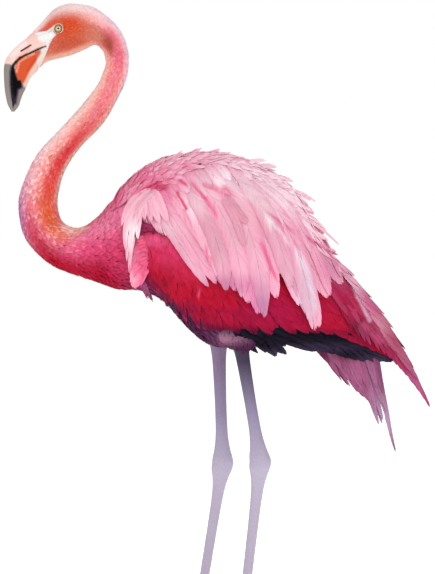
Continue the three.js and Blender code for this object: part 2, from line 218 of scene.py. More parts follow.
# %% The rows of the body
# Each row: back x, back z, belly x, belly z, half breadth.
HEAD = [
    (-268, 933, -259, 880, 14), (-254, 948, -249, 889, 17.5), (-238, 965, -231, 894, 21.5),
    (-220, 973, -212, 899, 23.5), (-202, 973, -193, 907, 23), (-181, 969, -181, 913, 20.5),
    (-164, 958, -174, 912, 18.5), (-149, 945, -170, 908, 17.5), (-137, 927, -166, 903, 17),
]
NECK = [
    (-130, 906, -164, 895, 16.5), (-129, 889, -163, 886, 16), (-132, 866, -167, 874, 16),
    (-143, 840, -175, 856, 16.5), (-166, 800, -199, 825, 17.5), (-200, 764, -229, 792, 19),
    (-221, 732, -262, 756, 21), (-230, 703, -282, 716, 23.5), (-232, 682, -290, 683, 26),
    (-228, 663, -284, 642, 28), (-220, 654, -268, 616, 30), (-207, 649, -241, 593, 33),
    (-191, 653, -207, 579, 38), (-173, 667, -174, 568, 45),
]
TRUNK = [
    (-158, 685, -145, 558, 52), (-141, 699, -112, 556, 59), (-113, 716, -79, 540, 66),
    (-72, 730, -46, 503, 72), (-26, 736, -12, 477, 75), (20, 725, 26, 473, 72),
    (64, 700, 64, 475, 64), (104, 667, 102, 481, 52), (141, 622, 136, 486, 37),
    (174, 572, 165, 482, 22), (190, 530, 182, 482, 12),
]
# What lies over the trunk: the folded wings, and over them the long shoulder feathers.
WINGS = [
    (-141, 699, -112, 556, 59.5), (-113, 720, -79, 538, 73), (-72, 735, -45, 501, 83),
    (-26, 740, -12, 476, 87), (20, 729, 26, 460, 85), (64, 709, 64, 456, 77),
    (104, 682, 102, 458, 65), (145, 640, 136, 454, 50), (184, 588, 170, 448, 34),
    (218, 542, 203, 444, 22), (246, 500, 235, 440, 14), (268, 463, 262, 436, 7),
]
SHOULDERS = [
    (-160, 687, -143, 572, 54), (-141, 711, -121, 552, 65), (-110, 738, -92, 527, 77),
    (-75, 754, -58, 502, 87), (-40, 760, -19, 478, 93), (0, 760, 26, 455, 94),
    (46, 749, 64, 450, 89), (97, 721, 104, 448, 77), (123, 690, 138, 446, 62),
    (151, 633, 168, 444, 48), (200, 576, 205, 430, 34), (242, 528, 241, 415, 24),
    (270, 480, 267, 405, 16), (290, 441, 284, 396, 9), (309, 392, 302, 388, 3),
]
# The bill's rows run the other way, from the face to the tip. The last number is how far down
# from its upper edge the gape is, as a share.
BILL = [
    (-269, 931.5, -260, 881, 13.5, 0.53), (-279, 922, -262, 876, 13.6, 0.46),
    (-290, 913, -267, 871, 13.6, 0.395), (-300, 903, -271, 867, 13.4, 0.355),
    (-307, 893, -274, 862, 13, 0.34), (-310, 881, -276, 857, 12.3, 0.345),
    (-310, 866, -279, 850, 11.2, 0.37), (-309, 850, -283, 842, 9.8, 0.415),
    (-307, 837, -286, 834, 8.2, 0.465), (-304, 826, -289, 825, 6, 0.5),
    (-299, 817, -295, 817, 1.5, 0.5),
]

# %% A smooth curve through the rows


def curve(rows, t):
    """The rows' values at t, where t counts the rows from 0 and may lie between them."""
    rows = np.asarray(rows, float)
    t = np.asarray(t, float)
    wide = np.vstack([2 * rows[0] - rows[1], rows, 2 * rows[-1] - rows[-2]])
    i = np.clip(np.floor(t).astype(int), 0, len(rows) - 2)
    f = (t - i)[..., None]
    a, b, c, d = wide[i], wide[i + 1], wide[i + 2], wide[i + 3]
    return 0.5 * (2 * b + (c - a) * f + (2 * a - 5 * b + 4 * c - d) * f**2 + (3 * b - a - 3 * c + d) * f**3)


def ramp(t, table):
    """A value at t from a table of pairs, with straight runs between them."""
    return np.interp(t, *zip(*table))


def unit(v):
    return v / np.maximum(np.linalg.norm(v, axis=-1, keepdims=True), 1e-12)


def power(value, exponent):
    return np.sign(value) * np.abs(value) ** exponent


class Form:
    """A lofted form. A place on it is t, along the rows, and around, an angle from the back."""

    def __init__(self, rows, squareness):
        self.rows = np.array(rows, float) * MM
        self.squareness = squareness
        self.last = len(rows) - 1

    def at(self, t, around):
        row = curve(self.rows, t)
        middle = (row[..., :2] + row[..., 2:4]) / 2
        up = row[..., :2] - middle
        level = power(np.cos(around), 2 / self.squareness)
        side = row[..., 4] * power(np.sin(around), 2 / self.squareness)
        flat = middle + up * level[..., None]
        return np.stack([flat[..., 0], side, flat[..., 1]], -1)

    def slopes(self, t, around, step=2e-3):
        """How the place moves for one unit of t, and for one radian round."""
        along = (self.at(t + step, around) - self.at(t - step, around)) / (2 * step)
        round_ = (self.at(t, around + step) - self.at(t, around - step)) / (2 * step)
        return along, round_

    def outward(self, t, around):
        along, round_ = self.slopes(t, around)
        return unit(np.cross(along, round_))

    def round_at(self, level):
        """The angle from the back at which the form has this level: 1 at the back, -1 at the belly."""
        return np.arccos(np.clip(power(np.clip(level, -1, 1), self.squareness / 2), -1, 1))

    def lifted(self, t, around, lift):
        return self.at(t, around) + self.outward(t, around) * np.asarray(lift)[..., None]

    def find(self, x, z, samples=900):
        """For points of the side view: t, and level from -1 at the belly to 1 at the back."""
        t = np.linspace(0, self.last, samples)
        row = curve(self.rows, t)
        middle = (row[:, :2] + row[:, 2:4]) / 2
        up = row[:, :2] - middle
        reach = np.sum(up**2, 1)
        away = np.stack([x, z], -1)[..., None, :] - middle
        level = np.sum(away * up, -1) / reach
        off = (away[..., 0] * up[:, 1] - away[..., 1] * up[:, 0]) / np.sqrt(reach)
        cost = np.abs(off) + np.maximum(np.abs(level) - 1, 0) * np.sqrt(reach)
        best = np.argmin(cost, -1)[..., None]
        return t[best[..., 0]], np.take_along_axis(level, best, -1)[..., 0]

    def breadth(self, x, z):
        """Half the form's breadth behind points of the side view."""
        t, level = self.find(x, z)
        inside = 1 - np.minimum(np.abs(level), 0.995) ** self.squareness
        return curve(self.rows, t)[..., 4] * inside ** (1 / self.squareness)


BODY_SQUARENESS = 2.15
HEAD_SQUARENESS = 2.25
body = Form(HEAD + NECK + TRUNK, BODY_SQUARENESS)
wings = Form(WINGS, BODY_SQUARENESS)
shoulders = Form(SHOULDERS, BODY_SQUARENESS)
bill = Form([row[:5] for row in BILL], HEAD_SQUARENESS)
print("rows along the body:", body.last + 1)

# %% [markdown]
# ## Colours and markings
#
# A flamingo's pink is never one pink: orange round the eye, white bare skin before it, magenta
# on the nape, crimson under the breast, and almost white where the long shoulder feathers
# catch the light. Each marking is written as a soft round patch with a place, a reach and a
# colour, and the patches are laid over one another as with an airbrush. The same function
# colours the skin and every feather that grows from it, so the two always agree.

# %% Mixing paint


def shade(text):
    """A colour written as on paint charts, such as #E8607A, in the linear light Blender uses."""
    channels = np.array([int(text[i : i + 2], 16) for i in (1, 3, 5)]) / 255
    return np.where(channels <= 0.04045, channels / 12.92, ((channels + 0.055) / 1.055) ** 2.4)


def blend(colours, colour, cover):
    """One colour laid over others. cover says how much of it, from 0 to 1, at each of them."""
    return colours * (1 - cover) + shade(colour) * cover


def airbrush(places, base, patches):
    """Colours at places (pairs of numbers): the base, with each patch blown over it in turn.
    A patch: two numbers of place, two of reach, colour, strength."""
    colours = np.broadcast_to(shade(base), places.shape[:-1] + (3,)).copy()
    for a, b, reach_a, reach_b, colour, strength in patches:
        far = ((places[..., 0] - a) / reach_a) ** 2 + ((places[..., 1] - b) / reach_b) ** 2
        colours = blend(colours, colour, (strength * np.exp(-(far**1.4)))[..., None])
    return colours


def seen_from_side(points):
    """Where points show from the side, in millimetres. What is nearer to the eye than the middle
    plane looks larger, so it is drawn out from the centre of the picture."""
    centre = np.array([AIM.x, AIM.z])
    nearer = 1 - np.abs(points[..., 1:2]) / STAND_OFF
    return (centre + (points[..., [0, 2]] - centre) / nearer) / MM


def from_segment(flat, x0, z0, x1, z1):
    """How far places of the side view are from a segment."""
    run = np.array([x1 - x0, z1 - z0])
    away = flat - np.array([x0, z0])
    share = np.clip((away @ run) / (run @ run), 0, 1)
    return np.linalg.norm(away - share[..., None] * run, axis=-1)


def within(flat, outline, soft=1.0):
    """1 inside an outline of the side view and 0 outside, with an edge so many millimetres soft."""
    inside = np.zeros(flat.shape[:-1], bool)
    nearest = np.full(flat.shape[:-1], 1e9)
    x, z = flat[..., 0], flat[..., 1]
    for (x0, z0), (x1, z1) in zip(outline, outline[1:] + outline[:1]):
        crossing = x0 + (z - z0) / (z1 - z0 + 1e-9) * (x1 - x0)
        inside ^= ((z0 > z) != (z1 > z)) & (x < crossing)
        nearest = np.minimum(nearest, from_segment(flat, x0, z0, x1, z1))
    return np.clip(0.5 + np.where(inside, nearest, -nearest) / soft, 0, 1)


def brush(colours, flat, strokes):
    """Paints strokes of the side view: from x, z to x, z, half width, colour, strength."""
    for x0, z0, x1, z1, half, colour, strength in strokes:
        far = from_segment(flat, x0, z0, x1, z1)
        colours = blend(colours, colour, (strength * np.clip(1.5 - far / half, 0, 1))[..., None])
    return colours


# Places on the body: rows along, and level from -1 at the belly to 1 at the back.
BODY_PATCHES = [
    (12.0, 0.0, 5.0, 2.0, "#E67C74", 1.0),  # the whole upper neck, coral
    (15.0, 0.0, 2.6, 2.0, "#EA8478", 0.9),
    (3.4, -0.1, 2.9, 1.3, "#C85F45", 1.0),  # cheek
    (5.6, -0.55, 1.9, 0.55, "#C36F59", 0.9), (0.9, -0.85, 1.3, 0.35, "#D08F7A", 0.95),
    (4.6, 0.55, 2.0, 0.4, "#EA9A94", 0.9),
    (3.0, 0.1, 1.35, 0.56, "#D0451F", 1.0),  # round the eye
    (1.5, 0.5, 0.9, 0.28, "#DB4D27", 0.9),
    (2.6, -0.62, 1.9, 0.34, "#BC4A2E", 0.85),  # throat
    (5.6, 0.5, 1.1, 0.42, "#F3B2B0", 0.9),
    (0.8, 1.0, 1.5, 0.3, "#F9DCD8", 1.0),  # forehead and crown, almost white
    (2.4, 1.0, 1.5, 0.3, "#F6D0CE", 1.0), (4.6, 1.0, 2.4, 0.42, "#F8E2E4", 1.0),
    (6.8, 1.0, 1.8, 0.42, "#F3CBD6", 1.0), (3.2, -1.0, 3.2, 0.16, "#DDA896", 0.9),
    (7.8, -0.35, 1.4, 0.55, "#A23E30", 0.95),  # dark corner of the throat
    (8.2, -1.0, 1.6, 0.2, "#DB9A86", 0.8),
    (9.6, 0.15, 1.3, 0.4, "#E0557A", 0.85),  # magenta of the nape
    (11.2, 0.1, 1.2, 0.4, "#E06C82", 0.85), (12.6, 0.2, 0.9, 0.4, "#E46C80", 0.7),
    (9.5, 1.0, 3.2, 0.3, "#EDC0D6", 0.95),  # lilac edge of the nape
    (11.5, -1.0, 3.4, 0.35, "#F4BDAF", 0.9),
    (14.0, -0.9, 2.2, 0.5, "#F8D0C9", 0.95),  # pale front of the neck
    (16.2, -0.85, 1.4, 0.5, "#F0A4B2", 0.9),
    (14.6, 0.5, 1.7, 0.46, "#CE2632", 0.95),  # red band behind
    (16.1, 0.5, 1.3, 0.45, "#DA3A32", 0.95), (14.6, 1.0, 3.0, 0.16, "#DDA083", 0.9),
    (17.8, -0.5, 1.5, 0.3, "#D2486E", 0.7),
    (17.9, 0.5, 1.4, 0.55, "#DA5216", 1.0),  # orange inside of the bend
    (19.4, 0.5, 1.1, 0.5, "#E36A3C", 0.85),
    (17.4, -0.95, 1.2, 0.32, "#B9629A", 0.9),  # lilac outside of the bend
    (18.6, -0.45, 1.2, 0.3, "#D4405A", 0.85),
    (20.4, -0.78, 2.0, 0.7, "#A8001E", 1.0),  # crimson underside
    (21.8, 0.0, 1.9, 0.66, "#DE4676", 0.95),  # magenta breast
    (22.6, 0.7, 1.6, 0.42, "#EA7DA1", 0.85), (20.0, 1.0, 1.3, 0.34, "#F2AC96", 0.95),
    (22.6, -0.8, 1.9, 0.64, "#A20022", 1.0), (23.6, -0.3, 1.2, 0.5, "#C92F5C", 0.85),
    (24.4, -1.0, 1.0, 0.3, "#8E1538", 0.9),
]
# Painted light and shade on the trunk: the hollow before the wing and the near-black patches low on the
# flank are painted shade. The dark belly is violet plumage deepened by painted shade. The small light mauve
# patch above the near thigh is a painted highlight.
TRUNK_PATCHES = [
    (23.8, 0.9, 1.2, 0.5, "#E66A94", 0.95), (25.5, 0.75, 1.4, 0.5, "#DD5A88", 0.95),
    (28.5, 0.9, 2.4, 0.5, "#EFB4C9", 0.95),
    (24.9, 0.05, 1.0, 0.5, "#B03468", 0.95),  # hollow before the wing
    (25.6, -0.75, 0.9, 0.45, "#3A1238", 0.95),
    (28.0, -1.0, 4.0, 0.75, "#43264A", 1.0),  # dark belly
    (27.8, -1.0, 0.8, 0.4, "#8E5070", 0.95), (26.5, -0.85, 0.9, 0.4, "#4A1838", 0.9),
    (29.0, -0.6, 2.2, 0.5, "#4E2B4E", 1.0), (32.6, -0.6, 1.4, 0.9, "#8E4A6E", 0.9),
]
BODY_BASE = "#E4668C"
BARE_SKIN = "#DEDDDA"
BARE_OUTLINE = [  # where no feathers grow between eye and bill, in millimetres of the side view
    (-287, 935), (-268, 929), (-262, 932.5), (-254, 933), (-248, 934), (-243.5, 937.5), (-238, 942),
    (-230.5, 941), (-233.5, 929.5), (-240, 923), (-243.5, 916.5), (-246.5, 909), (-249.5, 900.5),
    (-254.5, 889), (-259.5, 879), (-264, 863), (-287, 863),
]
FACE_STROKES = [
    (-258, 923.6, -244, 926, 4.4, "#EAE9E6", 1.0), (-265.5, 929, -248, 932, 2.2, "#ECE8E4", 0.9),
    (-250, 909, -261, 878, 3.8, "#DCD2C8", 1.0), (-242, 934.5, -238, 937.5, 1.2, "#E3BDB2", 0.8),
]
FACE_ZONES = [  # pink and orange that run from the bill into the bare skin: colour, softness, outline
    ("#F3C5BD", 3.0, [
        (-275, 932), (-267, 931), (-262, 927), (-261, 921.5), (-255.5, 918), (-248.5, 915.5),
        (-249.5, 912), (-255, 909.5), (-261, 907.5), (-268, 905), (-276, 904)]),
    ("#CA5330", 3.2, [
        (-294.8, 876.5), (-293.2, 883), (-290, 891), (-285, 895), (-277, 899), (-266.8, 904),
        (-256.9, 907), (-256.5, 902), (-259.6, 896.8), (-263.3, 890.3), (-268, 883.1),
        (-271.9, 877.3), (-274.6, 872.2), (-278, 865), (-281.5, 858), (-289.5, 858),
        (-294, 868)]),
]
GAPE_SHADOW = "#0B0709"
# Painted shadow: the line between the lips is painted black, as the shade in the gap between the bill's
# halves. The same line runs on into the skin of the face.
GAPE = [  # the line between the lips: x, z and half the width from here to the next point
    (-249.5, 911.8, 1.0), (-255, 909.9, 1.4), (-261, 907.3, 1.7), (-278, 899.3, 1.75),
    (-287, 894.8, 1.9), (-293.2, 888.6, 2.1), (-296.7, 883.6, 2.1),
]
GAPE_SHADOW_LINE = [(*a[:2], *b[:2], a[2], GAPE_SHADOW, 1.0) for a, b in zip(GAPE, GAPE[1:])]


def zones(colours, flat, table):
    """Fills outlines of the side view. table: colour, softness of the edge, outline."""
    for colour, soft, outline in table:
        colours = blend(colours, colour, within(flat, outline, soft)[..., None])
    return colours


def bare(t, level):
    """1 on the bare skin between eye and bill, 0 in the feathers, with a soft edge."""
    t, level = np.broadcast_arrays(t, level)
    found = np.zeros(t.shape)
    face = t < 4
    flat = seen_from_side(body.at(t[face], body.round_at(level[face])))
    found[face] = within(flat, BARE_OUTLINE, 1.2)
    return found


def body_colour(t, level):
    t, level = np.broadcast_arrays(np.asarray(t, float), np.asarray(level, float))
    places = np.stack([t, level], -1)
    colours = airbrush(places, BODY_BASE, BODY_PATCHES + TRUNK_PATCHES)
    return blend(colours, BARE_SKIN, bare(t, level)[..., None])


print("patches on the body:", len(BODY_PATCHES) + len(TRUNK_PATCHES))

# %% [markdown]
# ## Meshes from arrays
#
# There will be tens of thousands of feathers. Making each as an object of its own would take
# minutes, so all the feathers of one region are worked out together, as numpy arrays, and go
# into Blender as one mesh. Every point carries its colour, and every feather has a small
# patch of its own on the map called OFBake, at its root's place on the unrolled body.

# %% From arrays to an object


def point_places(mesh):
    place = np.empty(len(mesh.vertices) * 3, np.float32)
    mesh.vertices.foreach_get("co", place)
    return place.reshape(-1, 3).astype(float)


def keep_marking(mesh, colours):
    """Gives each point its colour, under the name by which the finishes look it up."""
    full = np.ones((len(mesh.vertices), 4), np.float32)
    full[:, :3] = np.clip(colours, 0, 1)
    marking = mesh.attributes.new("Marking", "FLOAT_COLOR", "POINT")
    marking.data.foreach_set("color", full.ravel())


def add_mesh(name, points, faces, colours, bake):
    """An object of triangles, with smooth faces, a colour for each point and the bake map."""
    mesh = bpy.data.meshes.new(name)
    mesh.vertices.add(len(points))
    mesh.vertices.foreach_set("co", np.ascontiguousarray(points, np.float32).ravel())
    corners = np.ascontiguousarray(faces, np.int32).ravel()
    mesh.loops.add(len(corners))
    mesh.loops.foreach_set("vertex_index", corners)
    mesh.polygons.add(len(faces))
    mesh.polygons.foreach_set("loop_start", np.arange(0, len(corners), 3, dtype=np.int32))
    mesh.update(calc_edges=True)
    keep_marking(mesh, colours)
    layer = mesh.uv_layers.new(name="OFBake")
    layer.uv.foreach_set("vector", np.ascontiguousarray(bake[corners], np.float32).ravel())
    mesh.validate()
    return show(name, mesh)


def crease(piece, margin, firm):
    """Marks the edges that run along a feather's margin as sharp, so its flat faces stay clean.
    margin gives each point's place: 0 on the vane, 1 left edge, 2 right edge, 3 tip, and 4 to 6
    the middle, left and right of its base. firm: the base is sharp too, so that the light
    doesn't fade towards it."""
    mesh = piece.data
    ends = np.empty(len(mesh.edges) * 2, np.int32)
    mesh.edges.foreach_get("vertices", ends)
    a, b = margin[ends.reshape(-1, 2)].T
    cap = (a > 3) & (b > 3)
    a, b = (np.choose(v, [0, 1, 2, 3, 0, 1, 2]) for v in (a, b))
    sharp = ((a == b) & (a > 0)) | ((a == 3) & (b > 0)) | ((b == 3) & (a > 0)) | (cap & firm)
    mesh.attributes.new("sharp_edge", "BOOLEAN", "EDGE").data.foreach_set("value", sharp)


# %% [markdown]
# ## The finish of a feather
#
# Feathers are dry and soft, and hardly reflect like a mirror, so their finish is rough, with
# only a trace of shine. The colour comes from the markings. A noise multiplies them by a gain
# here and there, so that no two barbs look dyed alike, and a fine bump stands for the barbs.

# %% Feather and skin materials


def add_noise(nodes, links, place, scale, detail):
    noise = nodes.new("ShaderNodeTexNoise")
    tune(noise, {"Scale": scale, "Detail": detail})
    links.new(place.outputs["Object"], noise.inputs["Vector"])
    return noise


def marking_with_noise(nodes, links, scale, depth, gain):
    """The markings, multiplied by a gain for red, green and blue where a noise is high."""
    place = nodes.new("ShaderNodeTexCoord")
    noise = add_noise(nodes, links, place, scale, 4)
    tune(noise, {"Roughness": 0.6})
    amount = nodes.new("ShaderNodeMapRange")
    tune(amount, {"From Min": 0.35, "From Max": 0.75, "To Max": depth})
    links.new(noise.outputs["Fac"], amount.inputs["Value"])
    marking = nodes.new("ShaderNodeAttribute")
    marking.attribute_name = "Marking"
    mix = nodes.new("ShaderNodeMix")
    mix.data_type = "RGBA"
    mix.blend_type = "MULTIPLY"
    links.new(amount.outputs["Result"], mix.inputs["Factor"])
    links.new(marking.outputs["Color"], mix.inputs["A"])
    mix.inputs["B"].default_value = (*gain, 1)
    return place, mix.outputs["Result"]


BUMP_HEIGHT = 0.3 * MM


def add_bump(nodes, links, place, surface, scale, strength):
    noise = add_noise(nodes, links, place, scale, 3)
    bump = nodes.new("ShaderNodeBump")
    tune(bump, {"Strength": strength, "Distance": BUMP_HEIGHT})
    links.new(noise.outputs["Fac"], bump.inputs["Height"])
    links.new(bump.outputs["Normal"], surface.inputs["Normal"])


def marked_finish(name, gain, noise, roughness, shine, bump):
    """A finish that shows the markings. noise: scale and depth. bump: scale and strength."""
    material = bpy.data.materials.new(name)
    material.use_nodes = True
    nodes, links = material.node_tree.nodes, material.node_tree.links
    surface = nodes["Principled BSDF"]
    place, colour = marking_with_noise(nodes, links, *noise, gain)
    links.new(colour, surface.inputs["Base Color"])
    tune(surface, {"Roughness": roughness, "Specular IOR Level": shine})
    add_bump(nodes, links, place, surface, *bump)
    return material, surface


FEATHERS = {  # gain for red, green and blue, scale of the noise, roughness
    "head_down": ((1.08, 1.25, 1.22), 420, 0.85),
    "neck_down": ((1.05, 1.15, 1.15), 300, 0.85),
    "breast_feathers": ((1.08, 1.25, 1.18), 240, 0.85),
    "crimson_vane": ((1.12, 1.4, 1.25), 160, 0.85),
    "pale_vane": ((1.02, 1.1, 1.05), 120, 0.85),
    "mauve_vane": ((1.12, 1.3, 1.2), 150, 0.85),
    "black_vane": ((1.5, 1.5, 1.6), 150, 0.6),
}
FINISHES = {
    name: marked_finish(name, gain, (scale, 0.5), roughness, 0.05, (1400, 0.15))[0]
    for name, (gain, scale, roughness) in FEATHERS.items()
}
print("feather finishes:", len(FINISHES))

# %% [markdown]
# ## One vane, many times
#
# The simplest feather is a vane: a leaf of a few stations, each with a left edge, a raised
# middle and a right edge, closed below, so that it is a real thin solid. Its edges are found
# on the body itself, which makes each vane hug the curve beneath it. The root lies low and the
# tip lies high, as shingles do, so that every feather covers the roots of the next row.

# %% The faces of a vane


def vane_faces(stations, across):
    """Triangles of one vane with so many stations before the tip and points across each."""
    faces = [(0, k + 1, k) for k in range(1, across - 1)]
    for s in range(stations - 1):
        a, b = s * across, (s + 1) * across
        for i in range(across):
            j = (i + 1) % across
            faces += [(a + i, b + j, b + i), (a + i, a + j, b + j)]
    last, tip = (stations - 1) * across, stations * across
    faces += [(last + i, last + (i + 1) % across, tip) for i in range(across)]
    return np.array(faces, np.int32)


PATCH = 0.003  # a feather's share of the bake map


def vane_batch(rings, tips, colours, roots):
    """The arrays of many vanes of one kind. rings: vane, station, point across, xyz. colours has
    one more station, for the tip. roots: each vane's place on the unrolled body, 0 to 1."""
    count, stations, across = rings.shape[:3]
    per = stations * across + 1
    points = np.concatenate([rings.reshape(count, -1, 3), tips[:, None]], 1).reshape(-1, 3)
    paint = np.concatenate([colours[:, :-1].reshape(count, -1, 3), colours[:, -1, :1]], 1)
    steps = np.linspace(-1, 1, stations + 1)[:-1], np.linspace(1, -1, across)
    share, aside = np.meshgrid(*steps, indexing="ij")
    patch = np.vstack([np.stack([share, aside], -1).reshape(-1, 2), [[1.0, 0.0]]]) * PATCH / 2
    bake = np.clip(roots[:, None] + patch[None], 0.002, 0.998).reshape(-1, 2)
    faces = (vane_faces(stations, across)[None] + (np.arange(count) * per)[:, None, None]).reshape(-1, 3)
    code = np.zeros(per, np.int8)
    code[0 : per - 1 : across] = 1
    code[across - 1 : per - 1 : across] = 2
    code[-1] = 3
    code[:across] = [5, *[4] * (across - 2), 6]
    return points, faces, paint.reshape(-1, 3), bake, np.tile(code, count)


def add_coat(name, batches, finish, replaced=(), firm=False):
    """One object from batches of vanes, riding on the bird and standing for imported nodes."""
    start, parts = 0, []
    for points, faces, paint, bake, code in batches:
        parts.append((points, faces + start, paint, bake, code))
        start += len(points)
    points, faces, paint, bake, code = (np.concatenate(column) for column in zip(*parts))
    piece = add_mesh(name, points, faces, paint, bake)
    crease(piece, code, firm)
    material, slot = finish
    piece.data.materials.append(FINISHES[material])
    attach(piece, "root")
    if replaced:
        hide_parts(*replaced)
    print(f"{name}: {len(faces)} triangles")
    return piece


# %% Vanes on a form

SMALL_VANE = [(0.0, 0.45), (0.35, 1.0), (0.75, 0.8)]
LONG_VANE = [(0.0, 0.3), (0.25, 0.8), (0.55, 1.0), (0.82, 0.72)]


def lay_vanes(form, t, around, length, half, heading, lifts, thick, paint, shape=SMALL_VANE):
    """Vanes rooted at t and around. heading turns each from straight back towards +around.
    lifts: how high root and tip lie. paint(t, level, share) gives the colours."""
    along, round_ = form.slopes(t, around)
    per_t, per_a = np.linalg.norm(along, axis=1), np.linalg.norm(round_, axis=1)
    roots = np.stack([t / form.last, (around / (2 * np.pi)) % 1.0], -1)
    # The axes from here on: vane, station, point across.
    share, breadth = np.array([*shape, (1, 0)], float).T[:, None, :, None]
    across = np.array([1.0, 0.0, -1.0])
    of_vanes = (t, around, per_t, per_a, length, half, heading, thick, *lifts)
    t, around, per_t, per_a, length, half, turn, thick, low, high = (v[:, None, None] for v in of_vanes)
    ahead = length * share
    aside = half * breadth * across
    t_at = t + (np.cos(turn) * ahead - np.sin(turn) * aside) / per_t
    t_at = np.clip(t_at, 0.01, form.last - 0.01)
    a_at = around + (np.sin(turn) * ahead + np.cos(turn) * aside) / per_a
    ridge = thick * (1 - np.abs(across)) * np.minimum(1, 2.2 * (1.05 - share))
    points = form.lifted(t_at, a_at, low + (high - low) * share + ridge)
    level = power(np.cos(a_at), 2 / form.squareness)
    colours = paint(t_at, level, np.broadcast_to(share, t_at.shape))
    return vane_batch(points[:, :-1], points[:, -1, 1], colours, roots)


# %% Rows of roots


def shingle(form, start, end, pitch, rng, wobble=0.35):
    """Roots in rows from start to end, pitch(t) apart along and round the form."""
    places = []
    t, odd = start, 0
    while t < end:
        gap = pitch(t)
        ring = form.at(np.full(65, t), np.linspace(-np.pi, np.pi, 65))
        girth = np.sum(np.linalg.norm(np.diff(ring, axis=0), axis=1))
        count = max(8, int(girth / gap))
        around = (np.arange(count) + 0.5 * odd) * 2 * np.pi / count - np.pi
        ahead, _ = form.slopes(np.full(8, t), np.linspace(-np.pi, np.pi, 8))
        step = gap / np.mean(np.linalg.norm(ahead, axis=1))
        around = around + rng.uniform(-wobble, wobble, count) * 2 * np.pi / count
        places.append(np.stack([t + rng.uniform(-wobble, wobble, count) * step, around], 1))
        t, odd = t + step, 1 - odd
    return np.concatenate(places)


print("triangles in a small vane:", len(vane_faces(len(SMALL_VANE), 3)))

# %% [markdown]
# ## The skin
#
# Under the feathers one closed skin runs over the whole bird, from the bill to the toes. It
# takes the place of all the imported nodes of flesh, so no seam shows between them, and it lies
# deeper than they do by the depth of the coat. Head, neck and trunk are one loft; the rings
# stand close together on the head, where the lids and folds need points to be made of.

# %% The loft of head, neck and trunk
COAT_DEPTH = ((0, 0.2), (0.8, 0.3), (2, 1.3), (8, 2.0), (14, 2.6), (21, 4.5), (25, 8), (33, 6))
HEAD_RING_STEP = 0.9 * MM
BODY_RING_STEP = 5 * MM
POINTS_ROUND = 96


def coat_depth(t):
    return ramp(t, COAT_DEPTH) * MM


def ring_stations(form, start, end, step):
    """Values of t from start to end, an even step apart along the middle of the form."""
    t = np.linspace(start, end, 2000)
    middle = (form.at(t, np.zeros_like(t)) + form.at(t, np.full_like(t, np.pi))) / 2
    run = np.concatenate([[0], np.cumsum(np.linalg.norm(np.diff(middle, axis=0), axis=1))])
    return np.interp(np.linspace(0, run[-1], max(2, int(run[-1] / step))), run, t)


def lofted(rings):
    """A bmesh of a closed loft: quads between rings of points, and a fan to each end's middle."""
    form = bmesh.new()
    rows = [[form.verts.new(p) for p in ring] for ring in rings]
    for a, b in zip(rows, rows[1:]):
        for i, j in zip(range(len(a)), [*range(1, len(a)), 0]):
            form.faces.new([a[i], b[i], b[j], a[j]])
    for end in (rows[0], rows[-1][::-1]):
        hub = form.verts.new(np.mean([vert.co for vert in end], axis=0))
        for here, there in zip(end, end[1:] + end[:1]):
            form.faces.new([here, there, hub])
    bmesh.ops.recalc_face_normals(form, faces=form.faces)
    return form


head_rings = ring_stations(body, 0, 8, HEAD_RING_STEP)
body_rings = ring_stations(body, 8, body.last, BODY_RING_STEP)[1:]
stations = np.concatenate([head_rings, body_rings])
around = np.arange(POINTS_ROUND) * 2 * np.pi / POINTS_ROUND
ring_t = np.repeat(stations[:, None], POINTS_ROUND, 1)
rings = body.lifted(ring_t, np.broadcast_to(around, ring_t.shape), -coat_depth(ring_t))
# Where along the bill, and how deep under its surface, the skin of the face goes on and ends.
UNDER_BILL = ((0.4, 3.0), (0.28, 0.9), (0.15, 0.3), (0.02, 0.2))
under = [bill.lifted(np.full(POINTS_ROUND, t), around, np.full(POINTS_ROUND, sunk * MM))
         for t, sunk in UNDER_BILL]
skin_form = lofted(np.concatenate([under, rings]))
print("rings of skin:", len(stations))

# %% [markdown]
# ## Lids and folds
#
# The head is where people look first. Round the eye the skin needs a lid: a low rim that
# overlaps the eyeball, with a groove outside it, and a hollow behind for the ball to sit in.
# From the eye a fold runs through the bare skin to the bill. All of these are moves of points
# by a formula, after the mesh near them has been divided finer.

# %% Move the points of the face
EYE = np.array([-230.4, 17.2, 935.6]) * MM
EYE_RADIUS = 6.3 * MM
LID_OPENING = 5.3 * MM
CHEEK_Y = 6 * MM  # points further out than this lie on the sides of the head
LID_RIM = (1.1, 6.5, 0.9)  # how high, how far from the eye's middle and how wide, in millimetres
LID_GROOVE = (-0.5, 8.8, 0.9)
BROW = (0.8, 9.0, 2.5)
FOLDS = [  # from x, z to x, z, half width, depth: in millimetres of the side view
    (-258.4, 928.6, -242.3, 933.2, 0.8, 0.7), (-242.3, 933.2, -239.0, 935.6, 0.8, 0.6),
    (-265.5, 926.0, -256.0, 931.5, 0.8, 0.4), (-248.0, 926.5, -242.0, 921.5, 0.8, 0.35),
    (-249.5, 911.8, -261.0, 907.3, 0.9, 0.9), (-261.0, 907.3, -268.0, 904.0, 0.9, 0.9),
    (-251.5, 905.0, -261.5, 884.0, 0.9, 0.4), (-247.0, 903.0, -256.0, 882.0, 0.9, 0.3),
]


def divide_near(form, centre, reach):
    """Cuts the faces within reach of a point of the side view into four, on both sides."""
    near = [f for f in form.faces if math.hypot(f.calc_center_median().x - centre[0],
                                                f.calc_center_median().z - centre[1]) < reach
            and abs(f.normal.y) > 0.3]
    edges = {e for f in near for e in f.edges}
    bmesh.ops.subdivide_edges(form, edges=list(edges), cuts=1, use_grid_fill=True)


def from_eye(place):
    return np.hypot(place[..., 0] - EYE[0], place[..., 2] - EYE[2])


